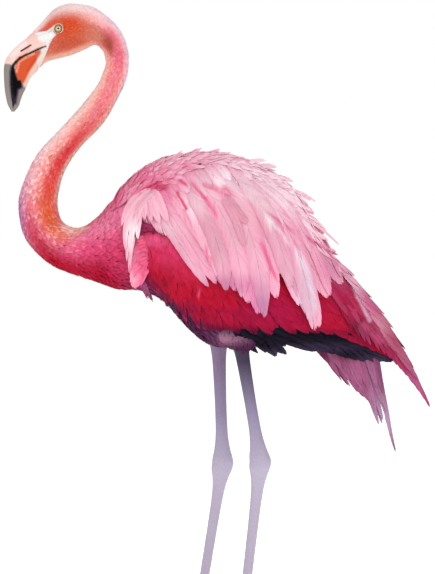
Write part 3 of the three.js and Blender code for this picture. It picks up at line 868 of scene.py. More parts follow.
def fold_depth(place):
    """How deep the folds are at points, in metres. A fold has a low swelling on either side."""
    flat = seen_from_side(place)
    deep = np.zeros(len(place))
    for x0, z0, x1, z1, half, depth in FOLDS:
        far = from_segment(flat, x0, z0, x1, z1) / half
        deep += depth * MM * (np.exp(-(far**2)) - 0.45 * np.exp(-((far - 1.7) ** 2)))
    return deep


def swelling(far, height, reach, width):
    """A ring round the eye that rises, or sinks, by a height at a reach from its middle."""
    return height * MM * np.exp(-(((far - reach * MM) / (width * MM)) ** 2))


def shape_face(form):
    form.verts.ensure_lookup_table()
    place = np.array([v.co for v in form.verts])
    x, y, z = place.T
    side = np.sign(y)
    round_eye = from_eye(place)
    at_side = (np.abs(y) > CHEEK_Y) & (x < -0.2)
    brow = swelling(round_eye, *BROW) * np.clip((z - EYE[2]) / (6 * MM), 0, 1)
    hollow = -5 * MM * np.clip((LID_OPENING + 0.4 * MM - round_eye) / (0.9 * MM), 0, 1)
    lid = swelling(round_eye, *LID_RIM) + swelling(round_eye, *LID_GROOVE)
    move = lid + brow + hollow - fold_depth(place)
    place[:, 1] += np.where(at_side & (round_eye < 0.045), side * move, 0)
    for vert, co in zip(form.verts, place):
        vert.co = co


divide_near(skin_form, (-0.247, 0.922), 0.024)
divide_near(skin_form, (EYE[0], EYE[2]), 0.010)
shape_face(skin_form)
print("points of the body's skin:", len(skin_form.verts))

# %% [markdown]
# ## Legs and feet
#
# A flamingo's leg is long and bare: shank above the ankle, tarsus below it, and a small
# webbed foot. The skin is horn-like, in plates on the front of the tarsus and across each
# toe. Each leg is a loft along a line that bends at the ankle; the plates are shallow steps
# in its radius. Toes are lofts that lie on the floor, and the webs are thin sheets.

# %% Rows of the leg
LEFT_LEG = {"knee": (28, 505), "ankle": (61, 312), "toes": (27, 17), "side": -1}
RIGHT_LEG = {"knee": (0, 505), "ankle": (7, 305), "toes": (-40, 15), "side": 1}
HIP_Y, FOOT_Y = 36, 45
# Distance from the ankle (negative above it), half depth, half breadth.
LEG_ROWS = [
    (-200, 15, 13), (-176, 13, 11.5), (-158, 10.8, 9.2), (-143, 9.8, 8.4), (-110, 8.9, 7.3),
    (-75, 8.5, 6.7), (-42, 9.1, 6.9), (-22, 11.5, 8.5), (-8, 14.7, 10.1), (0, 15.7, 10.5),
    (10, 14.9, 10.1), (24, 11.3, 8.5), (45, 8.7, 6.7), (100, 7.5, 5.5), (240, 6.9, 5.3),
    (280, 7.5, 6.5), (297, 8.5, 7.9),
]
PLATE, PLATE_DEPTH = 5.2, 0.42  # height of one plate on the tarsus, and how deep its edge is


class Leg(Form):
    """A leg as a form: t counts its rows, around is an angle from its hind side."""

    squareness = 2

    def __init__(self, points, rows=LEG_ROWS):
        self.points = points
        self.rows = np.array(rows, float)
        self.last = len(rows) - 1

    def middle(self, run):
        ankle, knee, toes = (np.array(self.points[k], float) for k in ("ankle", "knee", "toes"))
        up, down = unit(knee - ankle), unit(toes - ankle)
        run = np.asarray(run)[..., None]
        flat = ankle + np.where(run < 0, up, down) * np.abs(run)
        low = (knee[1] - flat[..., 1]) / (knee[1] - toes[1])
        y = self.points["side"] * (HIP_Y + (FOOT_Y - HIP_Y) * low)
        return np.stack([flat[..., 0], y, flat[..., 1]], -1)

    def at(self, t, around):
        row = curve(self.rows, t)
        ring = np.stack([row[..., 1] * np.cos(around), row[..., 2] * np.sin(around), 0 * row[..., 0]], -1)
        return (self.middle(row[..., 0]) + ring) * MM


def plates(run, around):
    """Depth of the grooves between the plates of leg skin, in metres."""
    front = np.clip(-np.cos(around) * 1.6 - 0.2, 0, 1)
    edge = np.abs(((run / PLATE + 0.16 * np.abs(np.sin(around))) % 1) - 0.5) * 2
    groove = np.clip((edge - 0.72) / 0.28, 0, 1) ** 1.5
    bare_part = np.clip((run + 120) / 60, 0, 1)
    return -PLATE_DEPTH * MM * groove * (0.35 + 0.65 * front) * bare_part


LEG_RING_STEP, LEG_POINTS_ROUND = 1.25 * MM, 26


def leg_form(leg):
    steps = ring_stations(leg, 0.4, leg.last, LEG_RING_STEP)
    around = np.arange(LEG_POINTS_ROUND) * 2 * np.pi / LEG_POINTS_ROUND
    t = np.repeat(steps[:, None], LEG_POINTS_ROUND, 1)
    a = np.broadcast_to(around, t.shape)
    run = curve(leg.rows, t)[..., 0]
    return lofted(leg.lifted(t, a, plates(run, a)))


# %% Toes, webs and heel
TOES = {"inner": (-27, 60), "middle": (0, 76), "outer": (25, 69), "hind": (168, 15)}
TOE_HALF, HIND_TOE_SCALE, TOE_HEIGHT = 4.6, 0.62, 1.674  # the height as a share of the half breadth
TOE_TAPER, KNUCKLE = 0.42, 0.07
TOE_PLATE, TOE_GROOVE = 3.1, 0.05  # a plate's length, and the depth of the groove after it
WEB_THICK, WEB_LIFT, WEB_REACH, WEB_SAG, WEB_RIB = 1.6, 0.4, 0.93, 0.76, 0.25
HEEL_TOP, HEEL_WIDEST, HEEL_REACH = 19.5, 8, 13
HEEL_HALF_LENGTH, HEEL_HALF_BREADTH, HEEL_POINTS = 9.4, 8.4, 24


def toe_point(leg, heading, distance):
    x, y = leg["toes"][0], leg["side"] * FOOT_Y
    return np.array([x - math.cos(heading) * distance, y + math.sin(heading) * distance, 0.0])


def lying_loft(leg, heading, rows, points, fullness=(1, 1)):
    """A loft that lies flat on the floor. rows: distance from the heel, half breadth, height.
    fullness: exponents for breadth and height; below 1 the section is fuller than round."""
    ahead = toe_point(leg, heading, 1) - toe_point(leg, heading, 0)
    across = np.array([ahead[1], -ahead[0], 0])
    turn = np.linspace(0, np.pi, points)[:, None]
    wide = across * power(np.cos(turn), fullness[0])
    tall = np.array([0, 0, 1]) * power(np.sin(turn), fullness[1])
    rings = [toe_point(leg, heading, far) + half * wide + height * tall for far, half, height in rows]
    return lofted(np.array(rings) * MM)


def toe_form(leg, heading, length, scale):
    """A toe: knuckles swell it, plates cross it, and its sole is flat on the floor."""
    rows = []
    for share in np.linspace(0, 1, max(8, int(length / 1.1))):
        knuckle = 1 + KNUCKLE * math.cos(share * 3 * 2 * math.pi)
        groove = max(0, abs(((share * length / TOE_PLATE) % 1) - 0.5) * 2 - 0.7) / 0.3
        end = math.sqrt(max(0.06, 1 - max(0, (share - 0.93) / 0.07) ** 2 * 0.8))
        half = TOE_HALF * scale * (1 - TOE_TAPER * share) * knuckle * end
        rows.append((length * share, half, half * TOE_HEIGHT * (1 - TOE_GROOVE * groove)))
    return lying_loft(leg, heading, rows, 13, (0.8, 0.9))


def web_form(leg, heading, length):
    """The web from the middle toe to another: thin, hollow at its front edge, lightly ribbed."""
    a = toe_point(leg, 0, TOES["middle"][1] * WEB_REACH)
    b = toe_point(leg, heading, length * WEB_REACH)
    sag = toe_point(leg, heading / 2, length * WEB_SAG)
    start = toe_point(leg, 0, 0)
    rings = []
    for share in np.linspace(0, 1, 15):
        rim = a * (1 - share) ** 2 + sag * 2 * share * (1 - share) + b * share**2
        ring = []
        for run in np.linspace(0.04, 1, 22):
            rib = WEB_RIB * math.sin(run * 26) * math.sin(share * math.pi)
            place = start * (1 - run) + rim * run
            ring.append(place + np.array([0, 0, WEB_LIFT + WEB_THICK + rib]))
        ring += [p * np.array([1, 1, 0]) + np.array([0, 0, WEB_LIFT]) for p in ring[::-1]]
        rings.append(ring)
    return lofted(np.array(rings) * MM)


def heel_form(leg):
    """The rounded joint that the toes and the tarsus grow from."""
    turn = np.arange(HEEL_POINTS) * 2 * np.pi / HEEL_POINTS
    rings = []
    for z in np.linspace(0, HEEL_TOP, 14):
        swell = math.sqrt(max(0.05, 1 - ((z - HEEL_WIDEST) / HEEL_REACH) ** 2))
        x = leg["toes"][0] + HEEL_HALF_LENGTH * swell * np.cos(turn)
        y = leg["side"] * FOOT_Y + HEEL_HALF_BREADTH * swell * np.sin(turn)
        rings.append(np.stack([x, y, np.full(HEEL_POINTS, z)], -1))
    return lofted(np.array(rings) * MM)


# %% Join the skin into one
def as_object(name, form):
    mesh = bpy.data.meshes.new(name)
    form.to_mesh(mesh)
    form.free()
    return show(name, mesh)


def unite(target, others):
    """Joins closed meshes into the target, and removes them. Inner walls disappear."""
    for other in others:
        join = target.modifiers.new("join", "BOOLEAN")
        join.operation = "UNION"
        join.solver = "MANIFOLD"
        join.object = other
    bpy.context.view_layer.update()
    solid = target.evaluated_get(bpy.context.evaluated_depsgraph_get())
    joined = bpy.data.meshes.new_from_object(solid)
    target.modifiers.clear()
    target.data = joined
    for other in others:
        bpy.data.objects.remove(other)


def toes_of(leg):
    for name, (degrees, length) in TOES.items():
        yield name, math.radians(degrees) * leg["side"], length


def foot_forms(leg):
    forms = []
    for name, heading, length in toes_of(leg):
        forms.append(toe_form(leg, heading, length, HIND_TOE_SCALE if name == "hind" else 1))
        if name in ("inner", "outer"):
            forms.append(web_form(leg, heading, length))
    return forms


legs = {"left": Leg(LEFT_LEG), "right": Leg(RIGHT_LEG)}
skin = as_object("skin", skin_form)
for leg in legs.values():
    limb = as_object("limb", leg_form(leg))
    unite(limb, [as_object("part_of_foot", f) for f in [heel_form(leg.points), *foot_forms(leg.points)]])
    unite(skin, [limb])
print("points of the whole skin:", len(skin.data.vertices))

# %% [markdown]
# ## Colour of the skin
#
# The skin is painted with the same patches as the feathers. On the legs the colour changes
# with height instead: painted shade in dark violet under the belly, lavender grey down to the
# feet. The lids are pale with brown marks and a violet painted shadow, and the folds of the
# face are painted darker than the skin, as shade in the creases.

# %% Paint the skin
LID_RINGS = [(6.5, 0.8, "#EBCFBF"), (5.5, 0.5, "#7A5030")]  # distance from the eye, width, colour
# The violet spot below the eye is a painted shadow under the lid.
LID_SPOTS = [  # x and z from the eye, reach, colour
    (-5.8, -4.2, 1.5, "#A67E50"), (-4.4, -5.9, 1.4, "#A67E50"), (-2.6, -6.9, 1.2, "#551240"),
    (7.4, 1.7, 0.8, "#8E1030"),
]
LEG_TOP = 0.478  # below this height the skin has the colours of the legs
# Painted shade: the legs darken upwards into the shade under the belly and thighs, the near leg's top more
# than the far leg's.
LEG_HEIGHTS = [0.0, 0.30, 0.38, 0.455]
LEG_COLOURS = ["#A89AAC", "#B6ACC0", "#8E82A0"]
LEG_TOP_SHADE = {-1: "#33223F", 1: "#866E90"}  # by the sign of y: the far leg is lit more there


def colour_ramp(at, places, colours):
    """Colours that change with one number, from place to place of a row of colours."""
    row = np.array([shade(colour) for colour in colours])
    return np.stack([np.interp(at, places, row[:, c]) for c in range(3)], -1)


def paint_skin(piece):
    place = point_places(piece.data)
    x, y, z = place.T
    colours = np.zeros_like(place)
    for first in range(0, len(place), 4000):
        part = slice(first, first + 4000)
        t, level = body.find(x[part], z[part], 330)
        colours[part] = body_colour(t, np.clip(level, -1, 1))
    on_leg = z < LEG_TOP
    for side in SIDES.values():
        here = on_leg & (np.sign(y) == side)
        row = [*LEG_COLOURS, LEG_TOP_SHADE[side]]
        colours[here] = colour_ramp(z[here], LEG_HEIGHTS, row)
    face = (x < -0.2) & (z > 0.86)
    at_side = face & (np.abs(y) > CHEEK_Y)
    flat = seen_from_side(place[face])
    # Painted shade: the skin is greyed in the folds, as shade in their creases.
    fold = np.clip(fold_depth(place[face]) / (0.55 * MM), 0, 1)[:, None]
    folded = blend(colours[face], "#A39A98", 0.7 * fold)
    on_skin = within(flat, BARE_OUTLINE, 1.2)[:, None]
    drawn = brush(zones(brush(folded, flat, FACE_STROKES), flat, FACE_ZONES), flat, GAPE_SHADOW_LINE)
    colours[face] = drawn * on_skin + folded * (1 - on_skin)
    for ring, width, colour in LID_RINGS:
        far = (from_eye(place) - ring * MM) / (width * MM)
        colours = blend(colours, colour, (at_side * np.exp(-(far**2)))[:, None])
    for dx, dz, reach, colour in LID_SPOTS:
        far = np.hypot(x - EYE[0] - dx * MM, z - EYE[2] - dz * MM) / (reach * MM)
        colours = blend(colours, colour, (at_side * np.exp(-(far**2)))[:, None])
    keep_marking(piece.data, colours)


gain = (0.72, 0.7, 0.74)
bare_skin, flesh_glow = marked_finish("bare_skin", gain, (500, 0.5), 0.5, 0.4, (1100, 0.35))
tune(flesh_glow, {
    "Subsurface Weight": 0.15, "Subsurface Radius": (1.0, 0.4, 0.3), "Subsurface Scale": 0.002,
})
paint_skin(skin)
skin.data.shade_smooth()
skin.data.materials.clear()
skin.data.materials.append(bare_skin)
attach(skin, "root")
flesh = ["head", "neck_upper", "neck_middle", "neck_lower", "trunk"]
flesh += [f"{part}_{side}" for part in ("thigh", "shank", "tarsus", "foot") for side in SIDES]
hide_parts(*flesh)

# %% [markdown]
# ## Bill, eyes and claws
#
# A flamingo's bill bends down in the middle. The upper half is a shallow lid, the lower half a
# deep trough, and they meet along the gape. Both are lofts along the same rows, one above the
# gape and one below it. Horn has no feathers to hide behind, so its colour zones are drawn with
# firm outlines, and a nostril is pressed into each side of the upper half.

# %% Horn
BILL_STEP = 0.75 * MM
BILL_POINTS = 56
GAPE_SLIT = 0.45 * MM
SUNK_AT_FACE, SUNK_REACH = 1.3 * MM, 0.9 * MM
NOSTRIL = (-271.5, 913.5, -285.5, 904.8)
HORN_CORNER = math.radians(50)  # edges of horn sharper than this stay sharp
GAPE_SHARE = np.array(BILL)[:, 5:]
UPPER_STROKES = [
    (-283, 917, -300, 901, 4.5, "#F9E3DE", 0.85), (-275, 907, -292, 893, 2.4, "#F0ABA0", 0.85),
    (-303, 894, -300, 887, 2.0, "#EEC2BA", 0.7),
]
LOWER_STROKES = [
    (-261, 899, -276, 877, 2.4, "#C8401E", 0.6), (-292, 874, -288, 889, 1.2, "#F0A088", 0.8),
    (-288, 889, -279, 895.5, 1.2, "#F0A088", 0.8), (-279, 895.5, -262, 903, 1.3, "#EFA58E", 0.8),
]
TIP_START = [(-295, 878.5), (-293, 870), (-290, 862), (-286.5, 862.5)]  # where the dark tip begins
TIP_ZONES = [  # grey, violet black, black
    ("#8A827D", 2.2, [
        (-330, 887), (-301, 886), (-298.5, 882.5), *TIP_START, (-283.5, 857), (-277, 848),
        (-268, 806), (-330, 806)]),
    ("#33253F", 3.4, [
        (-300.7, 883), (-297.2, 887), *TIP_START, (-283.5, 857), (-283.5, 851), (-288.5, 848),
        (-290.5, 838), (-292, 828), (-296, 826.5), (-300, 836.5), (-302.5, 855.5), (-302.5, 874.5)]),
    ("#060405", 2.0, [
        (-298.7, 881.5), (-296, 886), *TIP_START, (-284.5, 857), (-285.5, 852.5), (-291.5, 849.5),
        (-292.5, 841), (-295, 835), (-297.5, 848), (-298.7, 865.5)]),
]


def horn_finish(name, roughness, gain, shine=0.12):
    return marked_finish(name, gain, (350, 0.6), roughness, shine, (700, 0.3))


def horn_piece(name, form, colours, finish, replaced):
    """A smooth piece of horn with its markings."""
    piece = as_object(name, form)
    keep_marking(piece.data, colours(point_places(piece.data)))
    piece.data.shade_smooth()
    piece.data.set_sharp_from_angle(angle=HORN_CORNER)
    piece.data.materials.append(finish)
    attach(piece, "root")
    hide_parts(replaced)
    return piece


# %% Upper and lower bill


def bill_half(upper):
    """A closed loft of the bill above or below the gape. Its inner face is the palate or tongue."""
    t = ring_stations(bill, 0, bill.last - 0.002, BILL_STEP)[:, None]
    row = curve(bill.rows, t[:, 0])
    half_height = np.linalg.norm(row[:, :2] - row[:, 2:4], axis=1)[:, None] / 2
    gape = 1 - 2 * curve(GAPE_SHARE, t[:, 0])
    hand = 1 if upper else -1
    slit = GAPE_SLIT * np.clip(bill.last - t - 0.3, 0.03, 1)
    edge = bill.round_at(np.clip(gape + hand * slit / half_height, -0.98, 0.98))
    turn = np.linspace(-1, 1, BILL_POINTS)
    angle = edge * turn if upper else np.pi + (np.pi - edge) * turn
    tt = np.broadcast_to(t, angle.shape)
    outer = bill.at(tt, angle)
    pressed = np.exp(-((from_segment(seen_from_side(outer), *NOSTRIL) / 0.8) ** 2))
    ridge = 0.35 * np.exp(-((angle / 0.16) ** 2)) - 0.25 * np.exp(-(((np.abs(angle) - 0.5) / 0.14) ** 2))
    lift = (ridge - 1.5 * pressed * (np.abs(outer[..., 1]) > 4 * MM)) * MM if upper else 0 * angle
    # The start lies just under the skin of the face, so that the two meet without a step.
    lift = lift - SUNK_AT_FACE * np.exp(-np.arange(len(t))[:, None] * BILL_STEP / SUNK_REACH)
    outer = outer - bill.outward(tt, angle) * lift[..., None]
    across = np.linspace(0, 1, 9)[1:-1, None]
    vault = 0.22 * hand * np.sin(across * np.pi)
    culmen = bill.at(t[:, 0], np.zeros(len(t)))
    underside = bill.at(t[:, 0], np.full(len(t), np.pi))
    toward = (culmen - underside)[:, None] / 2
    inner = outer[:, -1:] * (1 - across) + outer[:, :1] * across + toward * vault
    return lofted(np.concatenate([outer, inner], 1))


def bill_colours(base, strokes):
    def paint(place):
        flat = seen_from_side(place)
        colours = zones(np.broadcast_to(shade(base), place.shape), flat, FACE_ZONES)
        colours = zones(brush(colours, flat, strokes), flat, TIP_ZONES)
        t, level = bill.find(place[:, 0], place[:, 2], 400)
        row = curve(bill.rows, t)
        gape = 1 - 2 * curve(GAPE_SHARE, t)[:, 0]
        from_gape = np.abs(level - gape) * np.linalg.norm(row[:, :2] - row[:, 2:4], axis=1) / 2
        before_tip = np.clip(1.6 * (bill.last - t) - 0.7, 0, 1)
        # Painted shadow: the lips are blackened near the gape, as shade in the gap between the halves.
        cover = np.clip(2.3 - from_gape / (0.8 * MM), 0, 1) * before_tip
        return blend(colours, GAPE_SHADOW, cover[:, None])

    return paint


# Painted shade: the pressed nostril is drawn near black, as the shade inside it.
UPPER_STROKES += [(*NOSTRIL, 1.25, "#1A0810", 1.0)] + GAPE_SHADOW_LINE
LOWER_STROKES += GAPE_SHADOW_LINE
upper_colours = bill_colours("#F3CFC8", UPPER_STROKES)
lower_colours = bill_colours("#E3BFAF", LOWER_STROKES)
pale_horn, _ = horn_finish("pale_horn", 0.5, (0.97, 0.9, 0.88))
dark_horn, _ = horn_finish("dark_horn", 0.45, (0.9, 0.82, 0.8), shine=0.05)
horn_piece("bill_upper", bill_half(True), upper_colours, pale_horn, "bill_upper")
horn_piece("bill_lower", bill_half(False), lower_colours, dark_horn, "bill_lower")

# %% Eyes
# Distance from the middle of the pupil in millimetres, and the colour there.
IRIS = [
    (0, "#050405"), (1.55, "#050405"), (1.7, "#E6DABE"), (2.6, "#D6C49E"), (3.1, "#BFA67A"),
    (3.4, "#7E5A32"), (3.9, "#B5935F"), (4.7, "#A8834C"), (5.3, "#5A3A20"), (6.3, "#2A1A14"),
]
PUPIL_TO_LID = [
    0.05, 0.5, 1.0, 1.4, 1.5, 1.6, 1.7, 2.1, 2.6, 3.0, 3.2, 3.35, 3.5, 3.9, 4.4, 4.8, 5.1, 5.4, 5.8, 6.1,
]
EYE_POINTS = 48
CORNEA_BULGE, CORNEA_REACH = 0.5 * MM, 3 * MM


def eye_form(side):
    """A ball with the clear bulge of the cornea in front of the pupil."""
    radius = np.array(PUPIL_TO_LID) * MM
    depth = np.sqrt(EYE_RADIUS**2 - radius**2) + CORNEA_BULGE * np.exp(-((radius / CORNEA_REACH) ** 2))
    behind = np.linspace(0.5, 0.97, 14) * np.pi
    radius = np.concatenate([radius, EYE_RADIUS * np.sin(behind)])
    depth = np.concatenate([depth, EYE_RADIUS * np.cos(behind)])
    turn = np.arange(EYE_POINTS) * 2 * np.pi / EYE_POINTS
    x = EYE[0] + radius[:, None] * np.cos(turn)
    z = EYE[2] + radius[:, None] * np.sin(turn)
    y = side * (EYE[1] + depth[:, None]) + 0 * turn
    return lofted(np.stack([x, y, z], -1))


def iris_colours(place):
    """Rings of colour round the pupil, with fine rays, and dark as painted shade where the ball turns
    inwards under the lid.
    """
    far = from_eye(place) / MM
    colours = colour_ramp(far, *zip(*IRIS))
    turn = np.arctan2(place[:, 2] - EYE[2], place[:, 0] - EYE[0])
    rays = 1 + 0.09 * np.sin(24 * turn) + 0.05 * np.sin(11 * turn + 1)
    colours = colours * np.where(far > 1.6, rays, 1)[:, None]
    return np.where((np.abs(place[:, 1]) < EYE[1])[:, None], shade("#2A1A14"), colours)


eye_gloss, gloss = horn_finish("eye", 0.3, (0.96, 0.94, 0.92))
tune(gloss, {"Coat Weight": 0.4, "Coat Roughness": 0.02})
for name, side in SIDES.items():
    horn_piece(f"eye_{name}", eye_form(side), iris_colours, eye_gloss, f"eye_{name}")

# %% Claws
CLAW_LENGTH, CLAW_ROOT, CLAW_HALF, CLAW_TALLNESS = 9.0, 0.6, 2.3, 1.7
HIND_CLAW_SCALE = 0.85


def claw_form(leg, heading, length, scale):
    """A blunt claw that grows out of the toe's end and lies on the floor."""
    rows = []
    for share in np.linspace(0, 1, 14):
        half = CLAW_HALF * scale * math.sqrt(max(0.01, 1 - share**2)) * (1 - 0.3 * share)
        far = length - CLAW_ROOT + (CLAW_LENGTH + CLAW_ROOT) * scale * share
        rows.append((far, half, half * CLAW_TALLNESS))
    return lying_loft(leg, heading, rows, 11)


def claw_colours(place):
    """Dark horn, paler where it grows from the toe."""
    reach = np.hypot(place[:, 0] - np.median(place[:, 0]), place[:, 1] - np.median(place[:, 1]))
    pale = np.clip(1 - reach / (CLAW_LENGTH * MM), 0, 1)[:, None]
    return blend(shade("#3B3038"), "#7C6A70", 0.4 * pale)


claw_horn, _ = horn_finish("claw_horn", 0.4, (0.8, 0.78, 0.8))
for name, leg in legs.items():
    for toe, heading, length in toes_of(leg.points):
        claw = f"claw_{toe}_{name}"
        form = claw_form(leg.points, heading, length, HIND_CLAW_SCALE if toe == "hind" else 1)
        horn_piece(claw, form, claw_colours, claw_horn, claw)

# %% [markdown]
# ## The coat of head, neck and trunk
#
# The smallest feathers grow on the face and the longest on the trunk, so the pitch of the
# rows and the length of the feathers follow from the place along the body. Each feather takes
# the marking of its own place, a little lighter or darker than its neighbour, and its tip is
# paler than its root, as worn feather tips are.

# %% Feathers of the body
ROW_PITCH = ((0, 1.7), (3, 2.0), (8, 2.2), (13, 2.6), (18, 3.1), (22, 4.2), (26, 5.6), (33, 6))
FEATHER_LENGTH = ((0, 3.6), (3, 4.8), (8, 7), (13, 9), (18, 12), (22, 17), (26, 26), (33, 28))


def pitch(t):
    return ramp(t, ROW_PITCH) * MM


def paler(colours, pale, share):
    """Mixes a pale colour in, but only where the place is pale already: red and dark stay."""
    return blend(colours, pale, share * np.clip(colours[..., 1:2] / 0.3, 0, 1))


def feather_colours(rng, count, spread, pale, pale_share):
    """A painter for a coat: the marking, varied from feather to feather, paler at the tips."""
    bright = rng.normal(0.97, spread, count)[:, None, None]
    washed = (rng.random(count) ** 3 * pale_share)[:, None, None]

    def paint(t, level, share):
        colours = body_colour(t, level)
        colours = paler(colours, pale, (washed + 0.12 * share**2)[..., None])
        return colours * (bright * (0.93 + 0.12 * share))[..., None]

    return paint


def body_coat(name, start, end, finish, seed, spread, pale, pale_share, keep=None):
    rng = np.random.default_rng(seed)
    t, around = shingle(body, start, end, pitch, rng).T
    level = power(np.cos(around), 2 / body.squareness)
    if keep is not None:
        kept = keep(t, around, level)
        t, around, level = t[kept], around[kept], level[kept]
    count = len(t)
    gap = pitch(t)
    length = ramp(t, FEATHER_LENGTH) * MM * rng.uniform(0.88, 1.25, count)
    depth = coat_depth(t)
    low = -depth * 0.8
    high = -0.12 * depth + gap * rng.uniform(0, 0.12, count)
    paint = feather_colours(rng, count, spread, pale, pale_share)
    heading = rng.normal(0, 0.14, count)
    batch = lay_vanes(body, t, around, length, gap * 0.84, heading, (low, high), gap * 0.12, paint)
    add_coat(name, [batch], finish)


def off_the_face(t, around, level):
    """Keeps feathers off the bare skin and the eyes."""
    place = body.at(t, around)
    at_side = np.abs(place[:, 1]) > CHEEK_Y
    return (bare(t, level) < 0.3) & ~(at_side & (from_eye(place) < 8.0 * MM))


HEAD_FINISH, NECK_FINISH = ("head_down", "coral_feathers"), ("neck_down", "neck_feathers")
BREAST_FINISH = ("breast_feathers", "rose_feathers")
body_coat("head_feathers", 0.15, 8.3, HEAD_FINISH, 11, 0.05, "#F7C9B8", 0.2, off_the_face)
body_coat("neck_feathers_upper", 8.0, 14.0, NECK_FINISH, 12, 0.06, "#FBD9D4", 0.4)
body_coat("neck_feathers_lower", 13.8, 20.8, NECK_FINISH, 13, 0.08, "#FDE6E8", 0.7)
body_coat("breast_feathers", 20.4, 25.2, BREAST_FINISH, 14, 0.08, "#F6B4CA", 0.3)
body_coat("trunk_feathers", 24.8, 32.9, BREAST_FINISH, 15, 0.08, "#D98FB0", 0.12)

# %% Fluff where the legs come out
# As the rows of the leg: from the ankle, half depth, half breadth. The far thigh is the slimmer.
THIGH_ROWS = {
    "left": [(-214, 34, 17), (-200, 34, 17), (-190, 32, 15.5), (-180, 29, 14), (-173, 25, 13),
             (-167, 19, 12), (-160, 13, 10.6), (-152, 11, 9.6)],
    "right": [(-214, 34, 17), (-204, 31, 16), (-196, 25, 14.5), (-189, 18.5, 13.2), (-182, 14.6, 12.4),
              (-176, 14, 12.2), (-168, 12.6, 11), (-160, 11.6, 10)],
}
THIGH_END = {"left": 4.8, "right": 3.0}
# Painted highlight on the front of each thigh: the far one's is darker, as it lies more in shade.
THIGH_HIGHLIGHT = {"left": "#9A6882", "right": "#684566"}


def fluff_paint(name):
    """Painted light and shade: a mauve highlight in front of the thigh, dark violet painted shade behind it
    and lower down.
    """

    def paint(t, level, share):
        light = np.clip(0.6 - 0.7 * level, 0, 1) * np.exp(-(((t - 3.2) / 1.2) ** 2))
        colours = blend(shade("#46203E"), THIGH_HIGHLIGHT[name], light[..., None])
        return colours * (0.85 + 0.3 * share)[..., None]

    return paint


def lay_fluff(name, leg, seed):
    """Soft feathers down the upper leg, longer than the coat, which end in a loose edge."""
    rng = np.random.default_rng(seed)
    thigh = Leg(leg.points, THIGH_ROWS[name])
    t, around = shingle(thigh, 0.2, THIGH_END[name], lambda t: 3.6 * MM, rng).T
    count = len(t)
    length = rng.uniform(8, 14, count) * MM
    low = np.full(count, -1.0 * MM)
    high = rng.uniform(0.2, 1.8, count) * MM
    half = np.full(count, 2.6 * MM)
    heading = rng.normal(0, 0.2, count)
    lifts, paint = (low, high), fluff_paint(name)
    batch = lay_vanes(thigh, t, around, length, half, heading, lifts, half * 0.2, paint)
    add_coat(f"thigh_feathers_{name}", [batch], BREAST_FINISH)


for seed, (name, leg) in enumerate(legs.items()):
    lay_fluff(name, leg, 17 + seed)

# %% [markdown]
# ## Long feathers along guides
#
# The folded wing and the shoulder feathers are too large and too individual for rows on a
# loft. A groomer would draw a few guides and let the computer fill in between; so do we. A
# guide is a root, a middle and a tip in the side view. A fan is a row of guides, and feathers
# may follow it anywhere between two guides. The form below tells how far out each point lies.

# %% A fan of guides
STEEPEST = 2.5  # how far the form may lean back from upright, as a slope


def beside(form, flat, side, lift):
    """Points and outward normals where points of the side view meet the form. A point nearer to
    the eye than the middle plane looks larger, so it is drawn in by as much."""
    centre = np.array([AIM.x, AIM.z])
    out_to = form.breadth(flat[..., 0], flat[..., 1]) + lift
    x, z = np.moveaxis(centre + (flat - centre) * (1 - out_to / STAND_OFF)[..., None], -1, 0)
    step = 4 * MM
    breadth = form.breadth(x, z)
    steep_x = (form.breadth(x + step, z) - form.breadth(x - step, z)) / (2 * step)
    steep_z = (form.breadth(x, z + step) - form.breadth(x, z - step)) / (2 * step)
    steep_x, steep_z = (np.clip(steep, -STEEPEST, STEEPEST) for steep in (steep_x, steep_z))
    out = even_out(unit(np.stack([-steep_x, np.full_like(x, side), -steep_z], -1)))
    points = np.stack([x, side * breadth, z], -1)
    points[..., 1] = even_out(points[..., 1:2])[..., 0]
    return points + out * np.broadcast_to(lift, x.shape)[..., None], unit(out)


def even_out(values):
    """Each value averaged with its neighbours along a feather; the ends stay."""
    middle = (values[:, :-2] + values[:, 1:-1] * 2 + values[:, 2:]) / 4
    return np.concatenate([values[:, :1], middle, values[:, -1:]], 1)


SPINE_POINTS = 15


class Fan:
    """Guides in the side view, in millimetres: root x z, middle x z, tip x z."""

    def __init__(self, form, guides, least=((0, 0), (1, 0))):
        self.form = form
        self.guides = np.array(guides, float) * MM
        self.last = len(guides) - 1
        self.least = np.array(least, float) * MM

    def spines(self, q, start, end, side, low, high):
        """Feather spines at q, counted in guides, from start to end along the guides."""
        share = start[:, None] + (end - start)[:, None] * np.linspace(0, 1, SPINE_POINTS)
        f = share[..., None]
        root, middle, tip = (curve(self.guides, q)[:, None, k : k + 2] for k in (0, 2, 4))
        flat = root * (1 - f) * (1 - 2 * f) + 4 * middle * f * (1 - f) + tip * f * (2 * f - 1)
        lift = low[:, None] + (high - low)[:, None] * np.linspace(0, 1, SPINE_POINTS)
        points, out = beside(self.form, flat, side, lift)
        least = np.interp(points[..., 0], *self.least.T)
        points[..., 1] = side * np.maximum(side * points[..., 1], least + 0.4 * lift)
        return points, out


def unrolled(form, points):
    """The place on the form's unrolled surface of points near it, both numbers from 0 to 1."""
    t, level = form.find(points[..., 0], points[..., 2], 300)
    around = np.sign(points[..., 1]) * form.round_at(level)
    return np.stack([t / form.last, (around / (2 * np.pi)) % 1], -1)


# %% [markdown]
# ## A feather of shaft and barbs
#
# A large feather isn't a sheet. From its shaft many barbs run out and forward, cling to each
# other, and part here and there. Each bundle of barbs is one thin blade that leaves the shaft
# at a slant, bends towards the tip and overlaps the next one. That gives the fine slanting
# grain, the soft edge and the splits of a real feather, for up to about two thousand triangles.

